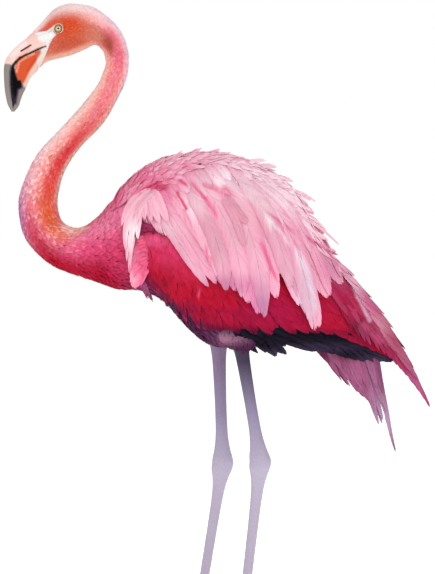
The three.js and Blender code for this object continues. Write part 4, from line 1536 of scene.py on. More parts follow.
# %% Barbed feathers
BLADE = np.array([0.0, 0.45, 0.8, 1.0])  # shares of a blade's length
BLADE_WIDTH = np.array([0.75, 1.1, 0.85, 0.0])
SLANT = 1.9  # how far a blade runs forward for each unit that it runs out
FRAY = 0.12  # how much shorter the shortest blades are
BLADE_RISE, BLADE_TWIST, BLADE_UNEVEN = 0.16 * MM, 0.1 * MM, 0.08 * MM
BLADE_FULLNESS, BARB_BEND = 0.62, 1.7
BARB_UNEVEN, FEATHER_UNEVEN = 0.035, 0.045  # how far their brightness varies
SHAFT_END, SHAFT_WIDTH, SHAFT_HEIGHT = 0.97, 0.035, 0.3


def vane_breadth(share, blunt):
    """Half breadth of a feather along its length, as a share of its widest."""
    return (1 - np.exp(-8 * share)) * np.clip(1 - np.clip(share, 0, 1) ** blunt, 0, 1) ** 0.6


def along_spine(values, share):
    """Values along each spine at shares of its length, for arrays of shares."""
    count, last = values.shape[0], values.shape[1] - 1
    flat = np.clip(share, 0, 1).reshape(count, -1) * last
    i = np.minimum(flat.astype(int), last - 1)
    f = (flat - i)[..., None]
    row = np.arange(count)[:, None]
    found = values[row, i] * (1 - f) + values[row, i + 1] * f
    return found.reshape(*share.shape, values.shape[-1])


def barbed(form, spine, out, half, blunt, barbs, paint, rng, cup=0.2, tilt=0.0):
    """Batches of blades and of shafts, for feathers along spines. half is each one's half breadth.
    tilt: how steeply each vane rises towards the head, so that it lies over its neighbour's edge."""
    count = len(spine)
    ahead = unit(np.gradient(spine, axis=1))
    left = unit(np.cross(out, ahead))
    out = unit(np.cross(ahead, left))
    length = np.sum(np.linalg.norm(np.diff(spine, axis=1), axis=2), axis=1)
    size = (count, barbs, 2)
    base = ((np.arange(barbs) + 0.5) / barbs * SHAFT_END)[None, :, None]
    base = base + rng.normal(0, 0.12 / barbs, size)
    wide = half[:, None, None] * np.ones(size)
    reach = SLANT * wide / length[:, None, None] * vane_breadth(base, blunt[:, None, None])
    end = np.minimum(base + reach + 0.03, 1 + rng.uniform(-0.02, 0.004, size))
    ragged = 1 - FRAY * rng.random(size) ** 2
    rim = wide * vane_breadth(np.minimum(end, 0.999), blunt[:, None, None]) * ragged
    # Along the shaft (s, a share) and out from it (g, in metres), for each station of each blade.
    s = base[..., None] + (end - base)[..., None] * BLADE
    g = rim[..., None] * (1 - (1 - BLADE) ** BARB_BEND)
    run_s = ((end - base) * length[:, None, None])[..., None] * np.ones(4)
    run_g = rim[..., None] * BARB_BEND * np.maximum(1 - BLADE, 0.02) ** 0.7
    norm = np.hypot(run_s, run_g) + 1e-9
    blade = (length / barbs)[:, None, None, None] * BLADE_FULLNESS * BLADE_WIDTH
    blade = blade * (0.25 + 0.75 * np.clip(rim / (0.5 * wide), 0, 1))[..., None]
    hand = np.array([1.0, -1.0])[None, None, :, None, None]
    across = np.array([1.0, 0.0, -1.0]) * hand
    off_s = (-run_g / norm * blade)[..., None] * across / length[:, None, None, None, None] * hand
    off_g = (run_s / norm * blade)[..., None] * across * hand
    s_at = s[..., None] + off_s
    g_at = np.maximum(g[..., None] + off_g, 0)
    edge = g_at / half[:, None, None, None, None]
    lift = -cup * edge**2 * half[:, None, None, None, None] * 0.5
    lift = lift + BLADE_RISE * (1 - np.abs(across)) - BLADE_TWIST * across * hand
    lift = lift + rng.normal(0, BLADE_UNEVEN, size)[..., None, None]
    lift = lift + tilt * np.sign(out[0, 0, 1]) * g_at * hand
    centre, aside, up = (along_spine(v, s_at) for v in (spine, left, out))
    points = centre + aside * (g_at * hand)[..., None] + up * lift[..., None]
    bright = rng.normal(1, BARB_UNEVEN, size)[..., None, None, None]
    bright = bright * rng.normal(1, FEATHER_UNEVEN, (count, 1, 1, 1, 1, 1))
    odd = rng.random(count)
    colours = paint(points, s_at, edge, odd) * bright
    places = along_spine(unrolled(form, spine), base)
    many = count * barbs * 2
    blades = vane_batch(
        points[..., :3, :, :].reshape(many, 3, 3, 3),
        points[..., 3, 1, :].reshape(many, 3),
        colours.reshape(many, 4, 3, 3),
        places.reshape(many, 2),
    )
    return [blades, shafts(form, spine, left, out, half, paint, odd)]


def shafts(form, spine, left, out, half, paint, odd):
    """The shafts of barbed feathers: thin, and thinner towards the tip."""
    picks = np.linspace(0, 0.94, 7)
    share = np.broadcast_to(picks[None, :, None], (len(spine), 7, 3))
    across = np.array([1.0, 0.0, -1.0])
    thin = (SHAFT_WIDTH * half)[:, None, None] * (1.05 - picks)[None, :, None]
    centre, aside, up = (along_spine(v, share) for v in (spine, left, out))
    rings = centre + aside * (thin * across)[..., None]
    rings = rings + up * (0.1 * MM + thin * SHAFT_HEIGHT * (1 - np.abs(across)))[..., None]
    tips = along_spine(spine, np.full((len(spine), 1), SHAFT_END))[:, 0]
    share = np.concatenate([share, np.full((len(spine), 1, 3), SHAFT_END)], 1)
    points = np.concatenate([rings, np.repeat(tips[:, None, None], 3, 2)], 1)
    colours = paint(points, share, share * 0, odd)
    return vane_batch(rings, tips, colours, unrolled(form, spine[:, :1])[:, 0])


# %% Rows of barbed feathers on a fan


def fan_rows(fan, rows, side, paint, seed, cup=0.2, loose=0.05, uneven=1.0, tilt=0.0):
    """rows: start and end along the guides, first and last guide, count, half breadth at the
    first and last guide, how high root and tip lie, bluntness, barbs. loose: how far the ends
    may differ, as a share of the guide. uneven: how much their heights differ, in millimetres."""
    rng = np.random.default_rng(seed)
    batches = []
    for start, end, q0, q1, count, half0, half1, low, high, blunt, barbs in rows:
        q = np.clip(np.linspace(q0, q1, count) + rng.normal(0, 0.05, count), 0, fan.last)
        across = np.linspace(0, 1, count)
        starts = start + rng.uniform(0, 0.06, count)
        ends = end + rng.uniform(-loose, loose, count) * (end < 0.99)
        lows = (low + rng.uniform(-0.3, 0.3, count) * uneven) * MM
        highs = (high + rng.uniform(-0.6, 0.6, count) * uneven) * MM
        spine, out = fan.spines(q, starts, ends, side, lows, highs)
        half = (half0 + (half1 - half0) * across) * MM * rng.uniform(0.88, 1.12, count)
        blunts = blunt * rng.uniform(0.85, 1.2, count)
        batches += barbed(fan.form, spine, out, half, blunts, barbs, paint, rng, cup=cup, tilt=tilt)
    return batches


def single_feathers(form, table, side, paint, seed, cup=0.1):
    """Feathers placed one by one. table: root x z, middle x z, tip x z, half breadth, how high
    root and tip lie, bluntness."""
    rng = np.random.default_rng(seed)
    rows = np.array(table, float)
    half, low, high = rows[:, 6:9].T * MM
    each = np.arange(len(rows))
    spine, out = Fan(form, rows[:, :6]).spines(each, 0.0 * each, each * 0 + 1.0, side, low, high)
    return barbed(form, spine, out, half, rows[:, 9], 60, paint, rng, cup=cup)


def painter(base, patches, root, root_depth, edge, edge_depth, wash=None, most=0.0, strokes=()):
    """A painter for long feathers: patches and strokes of the side view, deeper roots, a
    rim, and a wash that some feathers have more of than others."""

    def paint(points, share, aside, odd):
        flat = seen_from_side(points)
        colours = brush(airbrush(flat, base, patches), flat, strokes)
        if wash is not None:
            colours = blend(colours, wash, (most * odd**2).reshape(-1, *[1] * (colours.ndim - 1)))
        colours = blend(colours, root, (root_depth * np.clip(1 - share / 0.4, 0, 1))[..., None])
        return blend(colours, edge, (edge_depth * np.clip(np.abs(aside), 0, 1) ** 2)[..., None])

    return paint


# %% [markdown]
# ## The wing
#
# Folded, a flamingo's wing shows a field of crimson coverts, small and pink at the wrist and
# longer and darker towards the belly, and under them the black flight feathers. A smooth bed
# lies beneath, as the down does, so that no gap shows through. The coverts are rows on a fan
# whose guides start down at the wrist and turn backwards.

# %% Wing bed
# The near-black and dark maroon patches along the lower edge, next to the belly, are painted shade where the
# wing turns under.
CRIMSON_PATCHES = [
    (-60, 612, 46, 22, "#CE3460", 0.95), (-92, 630, 26, 10, "#DD5480", 0.95),
    (-117, 600, 11, 34, "#E26C90", 1.0), (-30, 586, 36, 18, "#C62A4C", 0.85),
    (-106, 576, 7, 14, "#221030", 0.95), (-97, 560, 8, 12, "#3A1038", 0.95),
    (-85, 548, 12, 8, "#50123A", 0.95), (-76, 567, 8, 7, "#6A0C24", 0.8),
    (3, 544, 55, 24, "#A40C28", 0.8), (-52, 530, 30, 9, "#6E1034", 0.8),
    (-30, 506, 26, 8, "#5A1030", 0.9), (10, 489, 26, 8, "#300A26", 0.95),
    (20, 518, 70, 14, "#8E0E34", 0.7), (-6, 500, 26, 8, "#520C2E", 0.9),
    (40, 497, 40, 9, "#440A2C", 0.9), (102, 514, 40, 16, "#960E3A", 0.7),
    (75, 529, 45, 20, "#981040", 0.8), (162, 544, 35, 36, "#A01238", 0.8),
    (225, 493, 40, 22, "#7A1238", 0.8), (119, 493, 70, 9, "#4E0E30", 0.9),
]
# Painted shade: the dark rim along the belly is dark plumage deepened by painted shade. The dark lines
# between the long lower feathers are painted shade in their gaps.
CRIMSON_STROKES = [
    (-109, 576, -94, 552, 2.6, "#2C0E34", 0.95),  # the dark rim along the belly
    (-94, 552, -78, 537, 3.0, "#4A1038", 0.9), (-78, 537, -50, 511, 3.2, "#521236", 0.9),
    (-97, 574, -71, 545, 1.3, "#4A1030", 0.85),  # gaps between the long lower feathers
    (-74, 552, -42, 515, 1.2, "#5A1030", 0.8), (-48, 548, -10, 503, 1.2, "#6A1030", 0.7),
    (-84, 572, -70, 568, 1.2, "#7A0A22", 0.8), (-92, 583, -84, 570, 1.0, "#8E0C26", 0.7),
    (-70, 540, -12, 499, 3.0, "#641236", 0.85), (-66, 529, -40, 510, 1.6, "#A02850", 0.8),
    (-38, 508, -18, 499, 1.6, "#A02850", 0.7), (-28, 550, -27, 560, 2.2, "#D0476A", 0.7),
]
crimson = painter(
    "#A80F2A", CRIMSON_PATCHES, "#8E0C26", 0.2, "#C8405E", 0.1, "#B81838", 0.3, CRIMSON_STROKES
)
WING_BED_TOP = ((0.6, 0.05), (2, 0.12), (3.2, 0.45), (9.6, 0.45))
WING_BED_LOW = (
    (0.6, -0.9), (2.6, -0.9), (4, -0.7), (5, -0.66), (6, -0.62), (7, -0.52), (8, -0.4), (9.6, -0.3),
)
# For places x, how near to the middle plane a feather may come.
WING_LEAST = ((-130, 18), (-60, 30), (0, 40), (60, 44), (180, 22), (262, 6))
BED_RINGS, BED_POINTS = 90, 34


def bed(name, form, side, levels, depths, paint, finish, replaced=()):
    """A thin closed shell under a coat, between a top and a low level that change along it.
    depths: its outer and inner face, in millimetres from the form."""
    top, low = levels
    t = np.linspace(top[0][0], top[-1][0], BED_RINGS)
    share = np.linspace(0, 1, BED_POINTS)
    level = ramp(t, top)[:, None] * (1 - share) + ramp(t, low)[:, None] * share
    aa = side * form.round_at(level)
    tt = np.repeat(t[:, None], BED_POINTS, 1)
    outer, inner = (form.lifted(tt, aa, np.full_like(tt, depth * MM)) for depth in depths)
    piece = as_object(name, lofted(np.concatenate([outer, inner[:, ::-1]], 1)))
    place = point_places(piece.data)
    none = np.zeros(len(place))
    keep_marking(piece.data, paint(place, none + 0.3, none, none))
    piece.data.shade_smooth()
    piece.data.materials.append(FINISHES[finish[0]])
    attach(piece, "root")
    if replaced:
        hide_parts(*replaced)
    return piece


WING_FINISH = ("crimson_vane", "crimson_feathers")
wing_levels = (WING_BED_TOP, WING_BED_LOW)
for name, side in SIDES.items():
    node = f"wing_{name}"
    bed(f"wing_bed_{name}", wings, side, wing_levels, (-6, -12), crimson, WING_FINISH, [node])

# %% Coverts
COVERT_GUIDES = [
    (-124, 636, -129, 605, -124, 563), (-112, 641, -116, 604, -108, 560),
    (-96, 643, -95, 594, -84, 540), (-74, 640, -64, 580, -43, 504),
    (-47, 628, -14, 558, 14, 493), (0, 610, 48, 550, 96, 492),
    (52, 598, 108, 545, 166, 494), (112, 596, 162, 538, 218, 476),
    (160, 580, 208, 515, 256, 460),
]
COVERT_ROWS = [
    (0.66, 1.0, 0.7, 8, 24, 7, 11, -5.6, -3.9, 4, 26),
    (0.5, 0.9, 0.7, 8, 22, 7.5, 12, -4.9, -3.2, 5, 26),
    (0.36, 0.78, 0.5, 8, 20, 8, 12, -4.2, -2.6, 6, 26),
    (0.24, 0.62, 0.3, 8, 20, 8, 11, -3.6, -2.1, 7, 24),
    (0.12, 0.46, 0.1, 7.5, 22, 7.5, 10, -3.0, -1.7, 7, 20),
    (0.02, 0.3, 0, 6, 30, 5.5, 8, -2.4, -1.1, 6, 16),
    (0.0, 0.17, 0, 5, 32, 4.5, 6.5, -2.0, -0.6, 5, 12),
]
# Small scalloped feathers over the wrist: they start on the wing and turn down over its edge.
FRINGE_GUIDES = [
    (-106, 634, -117, 630, -123, 618), (-102, 622, -118, 616, -128, 599),
    (-100, 608, -117, 601, -128, 584), (-102, 596, -116, 586, -127, 568),
    (-104, 590, -114, 578, -121, 560), (-102, 588, -108, 576, -112, 566),
]
FRINGE_ROWS = [
    (0.4, 1.0, 0, 5, 15, 3.6, 3.2, -1.0, 0.6, 3.0, 26),
    (0.2, 0.78, 0, 5, 14, 3.8, 3.4, -1.0, 0.8, 3.0, 24),
    (0.0, 0.55, 0, 5, 14, 3.8, 3.4, -1.4, 0.6, 3.0, 22),
    (0.0, 0.32, 0, 5, 13, 3.6, 3.2, -1.8, 0.2, 3.0, 18),
]
TASSEL_GUIDES = [(-124, 590, -114, 568, -104, 545), (-112, 580, -103, 560, -94, 540)]
TASSEL_ROW = [(0.0, 0.9, 0, 1, 6, 1.5, 1.5, -2, 0, 1.3, 20)]
FRINGE_PATCHES = [
    (-126, 572, 12, 14, "#F0A0B8", 0.9), (-126, 605, 8, 18, "#EC8CAA", 0.9),
    (-106, 610, 9, 30, "#DC4470", 0.9),
]
TASSEL_PATCHES = [(-118, 585, 14, 16, "#8E1034", 0.9)]
fringe_pink = painter("#E2608A", FRINGE_PATCHES, "#D23E66", 0.5, "#F2A8BE", 0.45, "#DC5078", 0.6)
mauve_tips = painter("#8A3A62", TASSEL_PATCHES, "#7E1838", 0.5, "#A8688E", 0.3)
coverts, fringe = Fan(wings, COVERT_GUIDES, WING_LEAST), Fan(wings, FRINGE_GUIDES)
tassels = Fan(body, TASSEL_GUIDES)
for name, side in SIDES.items():
    batches = fan_rows(coverts, COVERT_ROWS, side, crimson, 20 + side, cup=0.02, uneven=0.2, tilt=0.03)
    batches += fan_rows(fringe, FRINGE_ROWS, side, fringe_pink, 22 + side, cup=0.3, loose=0.16, uneven=2.2)
    batches += fan_rows(tassels, TASSEL_ROW, side, mauve_tips, 24 + side, loose=0.14)
    add_coat(f"coverts_{name}", batches, WING_FINISH, firm=True)

# %% Flight feathers
FLIGHT_GUIDES = [
    (24, 506, 46, 491, 74, 466), (26, 508, 62, 490, 100, 473), (28, 510, 84, 495, 148, 468),
    (28, 511, 110, 496, 190, 457), (36, 511, 126, 498, 214, 451), (44, 510, 138, 499, 240, 453),
    (52, 508, 150, 501, 257, 453), (70, 506, 164, 505, 260, 462),
]
BLACK_PATCHES = [
    (80, 466, 30, 8, "#2A2136", 0.8), (150, 474, 60, 8, "#33283E", 0.8),
    (235, 455, 40, 14, "#382D43", 0.9), (60, 500, 60, 8, "#14101E", 0.8),
]
FLIGHT_ROWS = [
    (0.0, 1.0, 0, 7, 15, 6.5, 8, -8.4, -5.0, 7, 44),
    (0.05, 0.72, 0.5, 6.5, 10, 7, 8, -7.4, -4.6, 8, 34),
]
BULGE_FEATHERS = [  # the round ends of the inner flights, which hang lowest
    (22, 502, 36, 484, 58, 462, 7, -6.4, -4.6, 5), (32, 504, 52, 486, 70, 463, 7.5, -6.4, -4.6, 5),
    (38, 503, 64, 482, 85, 458, 10, -6.4, -4.2, 6), (44, 502, 76, 479, 99, 461, 9, -6.4, -4.0, 5),
    (60, 500, 110, 480, 146, 468, 9, -6.4, -4.2, 5), (110, 496, 160, 478, 200, 462, 9, -6.4, -4.0, 5),
    (150, 490, 200, 472, 252, 455, 8, -6.4, -3.6, 3),
]
BLACK_FINISH = ("black_vane", "black_feathers")
black = painter("#0E0A16", BLACK_PATCHES, "#0B0812", 0.5, "#2E2638", 0.15)
flights = Fan(wings, FLIGHT_GUIDES, WING_LEAST)
for name, side in SIDES.items():
    batches = fan_rows(flights, FLIGHT_ROWS, side, black, 30 + side)
    batches += single_feathers(wings, BULGE_FEATHERS, side, black, 32 + side)
    add_coat(f"flights_{name}", batches, BLACK_FINISH, [f"flight_feathers_{name}"])

# %% [markdown]
# ## Shoulder feathers, plumes and tail
#
# Over the wing falls a drape of long, pale, strap-like shoulder feathers, the flamingo's most
# showy part. They spring from the shoulder and fan out: steeply down in front, and back along
# the ridge behind. Behind them hang the narrow plumes, and below those the small tail.

# %% Shoulder drape
DRAPE_GUIDES = [
    (-118, 704, -104, 672, -88, 640), (-101, 716, -80, 672, -58, 628), (-91, 724, -55, 667, -26, 599),
    (-78, 732, -33, 660, -3, 570), (-62, 740, -9, 660, 20, 560), (-46, 745, 14, 652, 44, 538),
    (-28, 748, 36, 652, 68, 520), (-9, 751, 64, 652, 104, 561), (8, 752, 90, 645, 142, 496),
    (22, 752, 107, 652, 162, 550), (36, 752, 122, 660, 183, 572), (42, 750, 120, 676, 160, 624),
    (28, 752, 102, 702, 137, 672), (2, 753, 82, 722, 124, 690), (-34, 756, 46, 744, 96, 722),
    (-66, 750, 0, 752, 60, 738),
]
# Among these, the near-white patches over the top and middle of the drape are painted highlights. The small
# crimson one near the front is painted shade in a gap between feathers.
PALE_PATCHES = [
    (-99, 713, 48, 38, "#E9789E", 0.95), (-156, 690, 26, 34, "#DE6490", 0.95),
    (-48, 738, 42, 18, "#EE97B4", 0.7), (25, 716, 62, 26, "#F2DFE7", 0.9),
    (97, 694, 52, 30, "#F9E8F0", 0.8), (-34, 682, 24, 20, "#F8DCE6", 0.75),
    (3, 640, 50, 35, "#D69FAF", 0.75), (-70, 650, 32, 16, "#E8BFCC", 0.85),
    (20, 564, 48, 16, "#C07298", 0.85), (62, 534, 22, 24, "#B06E98", 0.85),
    (126, 552, 16, 48, "#CBB3C5", 0.85), (165, 590, 24, 32, "#CC82A2", 0.8),
    (46, 667, 30, 20, "#EFB6C0", 0.5), (-84, 708, 15, 5, "#B3123F", 0.8),
]
DRAPE_DEEP = [  # in front broad and blunt, along the ridge behind narrow and pointed
    (0.2, 1.0, 1, 10.6, 13, 13, 15, -5.4, -4.2, 8, 70),
    (0.2, 1.0, 10.8, 14.6, 8, 8, 7, -5.2, -3.6, 2.0, 50),
]
DRAPE_ROWS = [
    (0.08, 0.9, 0.6, 10.4, 9, 14, 16, -5.0, -4.0, 7, 64),
    (0.0, 0.72, 0.2, 10.4, 8, 15, 16, -4.7, -3.7, 6, 54),
    (0.0, 0.85, 10.8, 14.6, 8, 8, 7, -4.7, -3.2, 2.0, 50),
    (0.0, 0.66, 10.4, 14.8, 8, 9, 7, -4.3, -2.8, 2.6, 40),
    (0.0, 0.48, 0, 14.8, 12, 11, 9, -4.3, -3.4, 5, 36), (0.0, 0.24, 0, 15, 18, 9, 8, -3.9, -2.9, 5, 20),
]
# The deep pink and crimson strokes are painted shade in the grooves and gaps between feathers. The
# near-white strokes down the long lilac feather are its painted highlight.
DRAPE_STROKES = [
    (-37, 713, -18, 690, 2.6, "#D8457A", 0.9), (-18, 690, -1, 667, 3.2, "#DC5C8A", 0.85),
    (-59, 700, -46, 676, 2.4, "#DA4274", 0.9), (-19, 711, 16, 696, 3.6, "#E67C9E", 0.8),
    (8, 707, 28, 694, 3.4, "#E8809F", 0.8), (-17, 621, -14, 583, 1.4, "#CE5A86", 0.8),
    (63, 627, 83, 576, 2.8, "#D8447A", 0.8), (76, 667, 110, 643, 2.4, "#DA6892", 0.85),
    (130, 634, 165, 607, 2.4, "#C84476", 0.8), (-14, 676, -10, 638, 2.6, "#E69CAE", 0.8),
    (-57, 719, -46, 711, 2.2, "#CE3468", 0.85), (-108, 705, -83, 718, 2.0, "#BE1C44", 0.85),
    (-81, 711, -72, 717, 2.0, "#D23C6E", 0.8), (29, 696, 47, 693, 1.8, "#FBEFF4", 0.8),
    (47, 693, 81, 652, 1.8, "#FBF0F5", 0.85), (81, 652, 100, 631, 2.0, "#F8EAF1", 0.8),
    (99, 631, 118, 610, 3.0, "#EFE6EE", 0.85), (118, 610, 133, 576, 4.0, "#E6DCE7", 0.85),
    (133, 576, 141, 532, 4.6, "#DCCDDC", 0.85), (120, 690, 165, 648, 3.0, "#E5A3BE", 0.7),
    (60, 720, 128, 690, 3.0, "#F4D9E4", 0.7), (-118, 685, -104, 696, 4.0, "#F6CCDA", 0.85),
    (-104, 696, -85, 682, 4.5, "#F2C0D1", 0.8),
]
# Root x z, middle x z, tip x z, half breadth, how high root and tip lie, bluntness.
LONG_SHOULDER_FEATHERS = [
    (-100, 700, -70, 648, -14, 562, 9, -3.5, -2.9, 9),  # smooth front edge of the drape
    (-92, 706, -58, 652, -2, 566, 9, -3.3, -2.7, 9), (-60, 726, -10, 650, 12, 556, 13, -3.4, -2.8, 8),
    (-40, 730, 16, 648, 36, 546, 15, -3.2, -2.8, 7), (-10, 728, 44, 650, 68, 517, 18, -3.4, -2.9, 5),
    (30, 722, 78, 655, 107, 560, 15, -3.0, -2.5, 8),
    (44, 716, 106, 640, 141, 498, 18, -3.4, -2.7, 6),  # the long lilac one
    (50, 722, 104, 676, 137, 612, 9, -2.6, -2.1, 10), (84, 690, 132, 634, 164, 550, 11, -3.1, -2.6, 7),
    (100, 690, 148, 640, 181, 576, 7, -2.8, -2.3, 8), (10, 700, 30, 672, 43, 655, 6, -2.5, -1.9, 9),
    (6, 690, 24, 664, 38, 622, 6, -2.4, -1.9, 9),
]
RIDGE_GUIDES = [  # along the outline of the back: each tip stands a little off it
    (-130, 707, -112, 728, -94, 747),
    (-115, 715, -90, 738, -64, 760), (-90, 726, -60, 748, -30, 765), (-60, 738, -24, 756, 14, 763),
    (-30, 743, 0, 754, 31, 755), (0, 740, 34, 747, 70, 746), (30, 733, 64, 737, 96, 729),
    (50, 728, 96, 714, 134, 690), (76, 706, 112, 688, 142, 664), (100, 680, 132, 656, 158, 634),
    (124, 646, 150, 628, 176, 609), (150, 618, 182, 592, 213, 563), (180, 590, 208, 560, 241, 528),
    (202, 560, 230, 530, 262, 495), (222, 530, 248, 500, 281, 458), (242, 500, 266, 466, 297, 421),
]
RIDGE_ROWS = [
    (0.0, 0.95, 0, 15, 22, 4, 5.5, -4.0, -2.0, 1.5, 20),
    (0.0, 0.8, 0.3, 14.6, 22, 5, 6.5, -3.8, -2.0, 1.8, 20),
    (0.0, 0.62, 0.0, 14.8, 22, 6, 7.5, -3.8, -2.2, 2.2, 20),
]
RIDGE_TIPS = [  # the few feathers whose thin tips stand off the outline
    (-140, 700, -122, 724, -103, 740, 3, -3.0, 0.0, 1.3),
    (-85, 738, -60, 752, -34, 760, 3.5, -3.0, 0.0, 1.3),
    (-45, 745, -16, 754, 11, 756.5, 3, -3.0, 0.0, 1.3),
    (-25, 742, 2, 750, 27, 751.5, 3, -3.0, 0.0, 1.3), (25, 742, 56, 739, 85, 731.5, 2, -3.0, 0.0, 1.2),
    (85, 710, 114, 702, 142, 686.5, 3.4, -3.0, 0.0, 1.2),
    (112, 672, 146, 650, 176, 623.5, 2, -3.0, 0.0, 0.9),
    (108, 680, 138, 662, 158, 643, 2.4, -3.0, 0.0, 1.0),
]
RIDGE_PATCHES = [
    (-110, 715, 75, 50, "#E26C96", 0.95), (-160, 676, 30, 30, "#D65080", 0.95),
    (-20, 760, 40, 30, "#EFA8C0", 0.8), (190, 600, 36, 30, "#CC7CA0", 0.9),
    (230, 540, 42, 36, "#B44C78", 0.95), (262, 482, 46, 48, "#962850", 0.95),
    (285, 445, 30, 30, "#A0406A", 0.9), (300, 410, 26, 34, "#A6577F", 0.9),
]
# The soft white plume before the wing, clump by clump, and the arch that joins it to the drape.
STRIP_FEATHERS = [
    (-98, 706, -118, 692, -134, 668, 6, -2.5, 0.0, 3), (-106, 700, -124, 684, -138, 656, 6, -2.5, 0.0, 3),
    (-92, 702, -108, 690, -122, 666, 6, -2.5, 0.2, 3), (-112, 700, -130, 682, -140, 650, 5, -2.5, 0.0, 3),
    (-108, 692, -126, 672, -135, 640, 6, -2.2, 0.4, 3), (-102, 694, -114, 676, -119, 652, 6, -2.2, 0.4, 3),
    (-96, 706, -86, 686, -72, 656, 8, -3.0, -0.6, 4), (-102, 702, -95, 682, -84, 654, 7, -3.0, -0.4, 4),
    (-104, 698, -101, 678, -96, 656, 6, -2.8, -0.2, 3), (-108, 696, -108, 678, -106, 660, 6, -2.6, 0.0, 3),
    (-124, 678, -132, 656, -134, 628, 6, -1.8, 0.6, 3), (-118, 678, -124, 654, -124, 624, 6, -1.8, 0.8, 3),
    (-112, 676, -116, 652, -116, 632, 5, -1.8, 0.4, 3), (-128, 666, -134, 644, -133, 614, 5, -1.4, 0.6, 3),
    (-120, 658, -126, 636, -126, 608, 5, -1.2, 0.8, 3), (-127, 642, -131, 622, -132, 600, 3.6, -1.2, 0.6, 2),
    (-121, 636, -126, 614, -127, 590, 3, -1.2, 0.4, 1.6),
    (-125, 622, -129, 606, -129, 584, 2.2, -1.2, 0.2, 1.4),
]
STRIP_PATCHES = [
    (-124, 640, 10, 24, "#FAF3F6", 0.95), (-126, 590, 9, 18, "#EEA8BC", 0.8),
]
# For the drape, the deeper pink roots and rims of pale and rosy, and rosy as a whole on the lower rows and
# the bed that show between the upper feathers, are painted shade in the grooves between feathers.
pale = painter("#E6A9BE", PALE_PATCHES, "#D5638A", 0.35, "#D8648E", 0.45, "#DC7E9E", 0.4, DRAPE_STROKES)
rosy = painter("#EFA6BE", PALE_PATCHES, "#D65484", 0.6, "#DC6E96", 0.5, "#DE7298", 0.5, DRAPE_STROKES)
whitish = painter("#F2B4C6", STRIP_PATCHES, "#E692AE", 0.3, "#F6CBD8", 0.3, "#EE9CB6", 0.5)
ridge_pink = painter("#F7D3DF", RIDGE_PATCHES, "#DC6C94", 0.25, "#E488A8", 0.15, "#E28CAC", 0.25)
drape = Fan(shoulders, DRAPE_GUIDES)
ridge = Fan(shoulders, RIDGE_GUIDES)
PALE_FINISH = ("pale_vane", "pale_feathers")
drape_levels = (
    ((0.5, 0.75), (2, 0.9), (4, 0.97), (9.4, 0.9)),
    ((0.5, 0.5), (2, 0.32), (3.5, 0.1), (5, -0.08), (7, -0.02), (8.4, 0.25), (9.4, 0.75)),
)
drape_lie = dict(cup=0.0, loose=0.09, uneven=0.12, tilt=-0.02)
for name, side in SIDES.items():
    batches = []
    bed(f"drape_bed_{name}", shoulders, side, drape_levels, (-7, -10), rosy, PALE_FINISH)
    for seed, rows, paint in ((38, DRAPE_DEEP, rosy), (40, DRAPE_ROWS, pale)):
        batches += fan_rows(drape, rows, side, paint, seed + side, **drape_lie)
    batches += single_feathers(shoulders, LONG_SHOULDER_FEATHERS, side, pale, 42 + side)
    add_coat(f"shoulder_drape_{name}", batches, PALE_FINISH, [f"scapulars_{name}"], firm=True)
    batches = single_feathers(shoulders, STRIP_FEATHERS, side, whitish, 44 + side)
    batches += fan_rows(ridge, RIDGE_ROWS, side, ridge_pink, 46 + side, cup=0.1, uneven=0.6)
    batches += single_feathers(shoulders, RIDGE_TIPS, side, ridge_pink, 49 + side)
    add_coat(f"shoulder_ridge_{name}", batches, PALE_FINISH, firm=True)

# %% Mantle along the ridge of the back
# Along the shoulders: pitch of the rows, length and half breadth of a feather, in millimetres,
# and the level above which they grow.
MANTLE_PITCH = ((0, 3.8), (3, 5.5), (10, 8))
MANTLE_LENGTH = ((0, 16), (3, 24), (10, 40))
MANTLE_HALF = ((0, 2.8), (3, 4), (10, 6))
MANTLE_EDGE = ((0, 1.1), (0.1, 1.1), (0.4, 0.7), (2, 0.6), (4, 0.9), (10, 0.9))


def mantle_paint(rng, count):
    """The drape's colours, painted highlights and shade among them, for vanes laid in rows: some rosier and
    some paler than the rest.
    """
    odd = rng.normal(0, 0.22, count)[:, None, None]

    def paint(t, level, share):
        flat = seen_from_side(shoulders.at(t, shoulders.round_at(level)))
        colours = brush(airbrush(flat, "#F6BED2", PALE_PATCHES), flat, DRAPE_STROKES)
        rosy = np.clip(odd, 0, 0.5)[..., None]
        faded = np.clip(-odd, 0, 0.6)[..., None] * np.clip(t / 2 - 0.4, 0, 1)[..., None]
        colours = colours * (1 - rosy - faded) + shade("#D94F80") * rosy + shade("#FAE0E8") * faded
        return colours * (0.94 + 0.08 * share)[..., None]

    return paint


def lay_mantle():
    rng = np.random.default_rng(48)
    t, around = shingle(shoulders, 0.1, 9.6, lambda t: ramp(t, MANTLE_PITCH) * MM, rng).T
    level = power(np.cos(around), 2 / shoulders.squareness)
    kept = level > ramp(t, MANTLE_EDGE)
    t, around = t[kept], around[kept]
    count = len(t)
    size = ramp(t, MANTLE_LENGTH) * MM * rng.uniform(0.75, 1.25, count)
    lifts = np.full(count, -5.0 * MM), rng.uniform(-3.6, -0.4, count) * MM
    half = ramp(t, MANTLE_HALF) * MM
    heading = rng.normal(0, 0.22, count)
    paint = mantle_paint(rng, count)
    batch = lay_vanes(shoulders, t, around, size, half, heading, lifts, half * 0.1, paint, LONG_VANE)
    add_coat("mantle_feathers", [batch], PALE_FINISH)


lay_mantle()

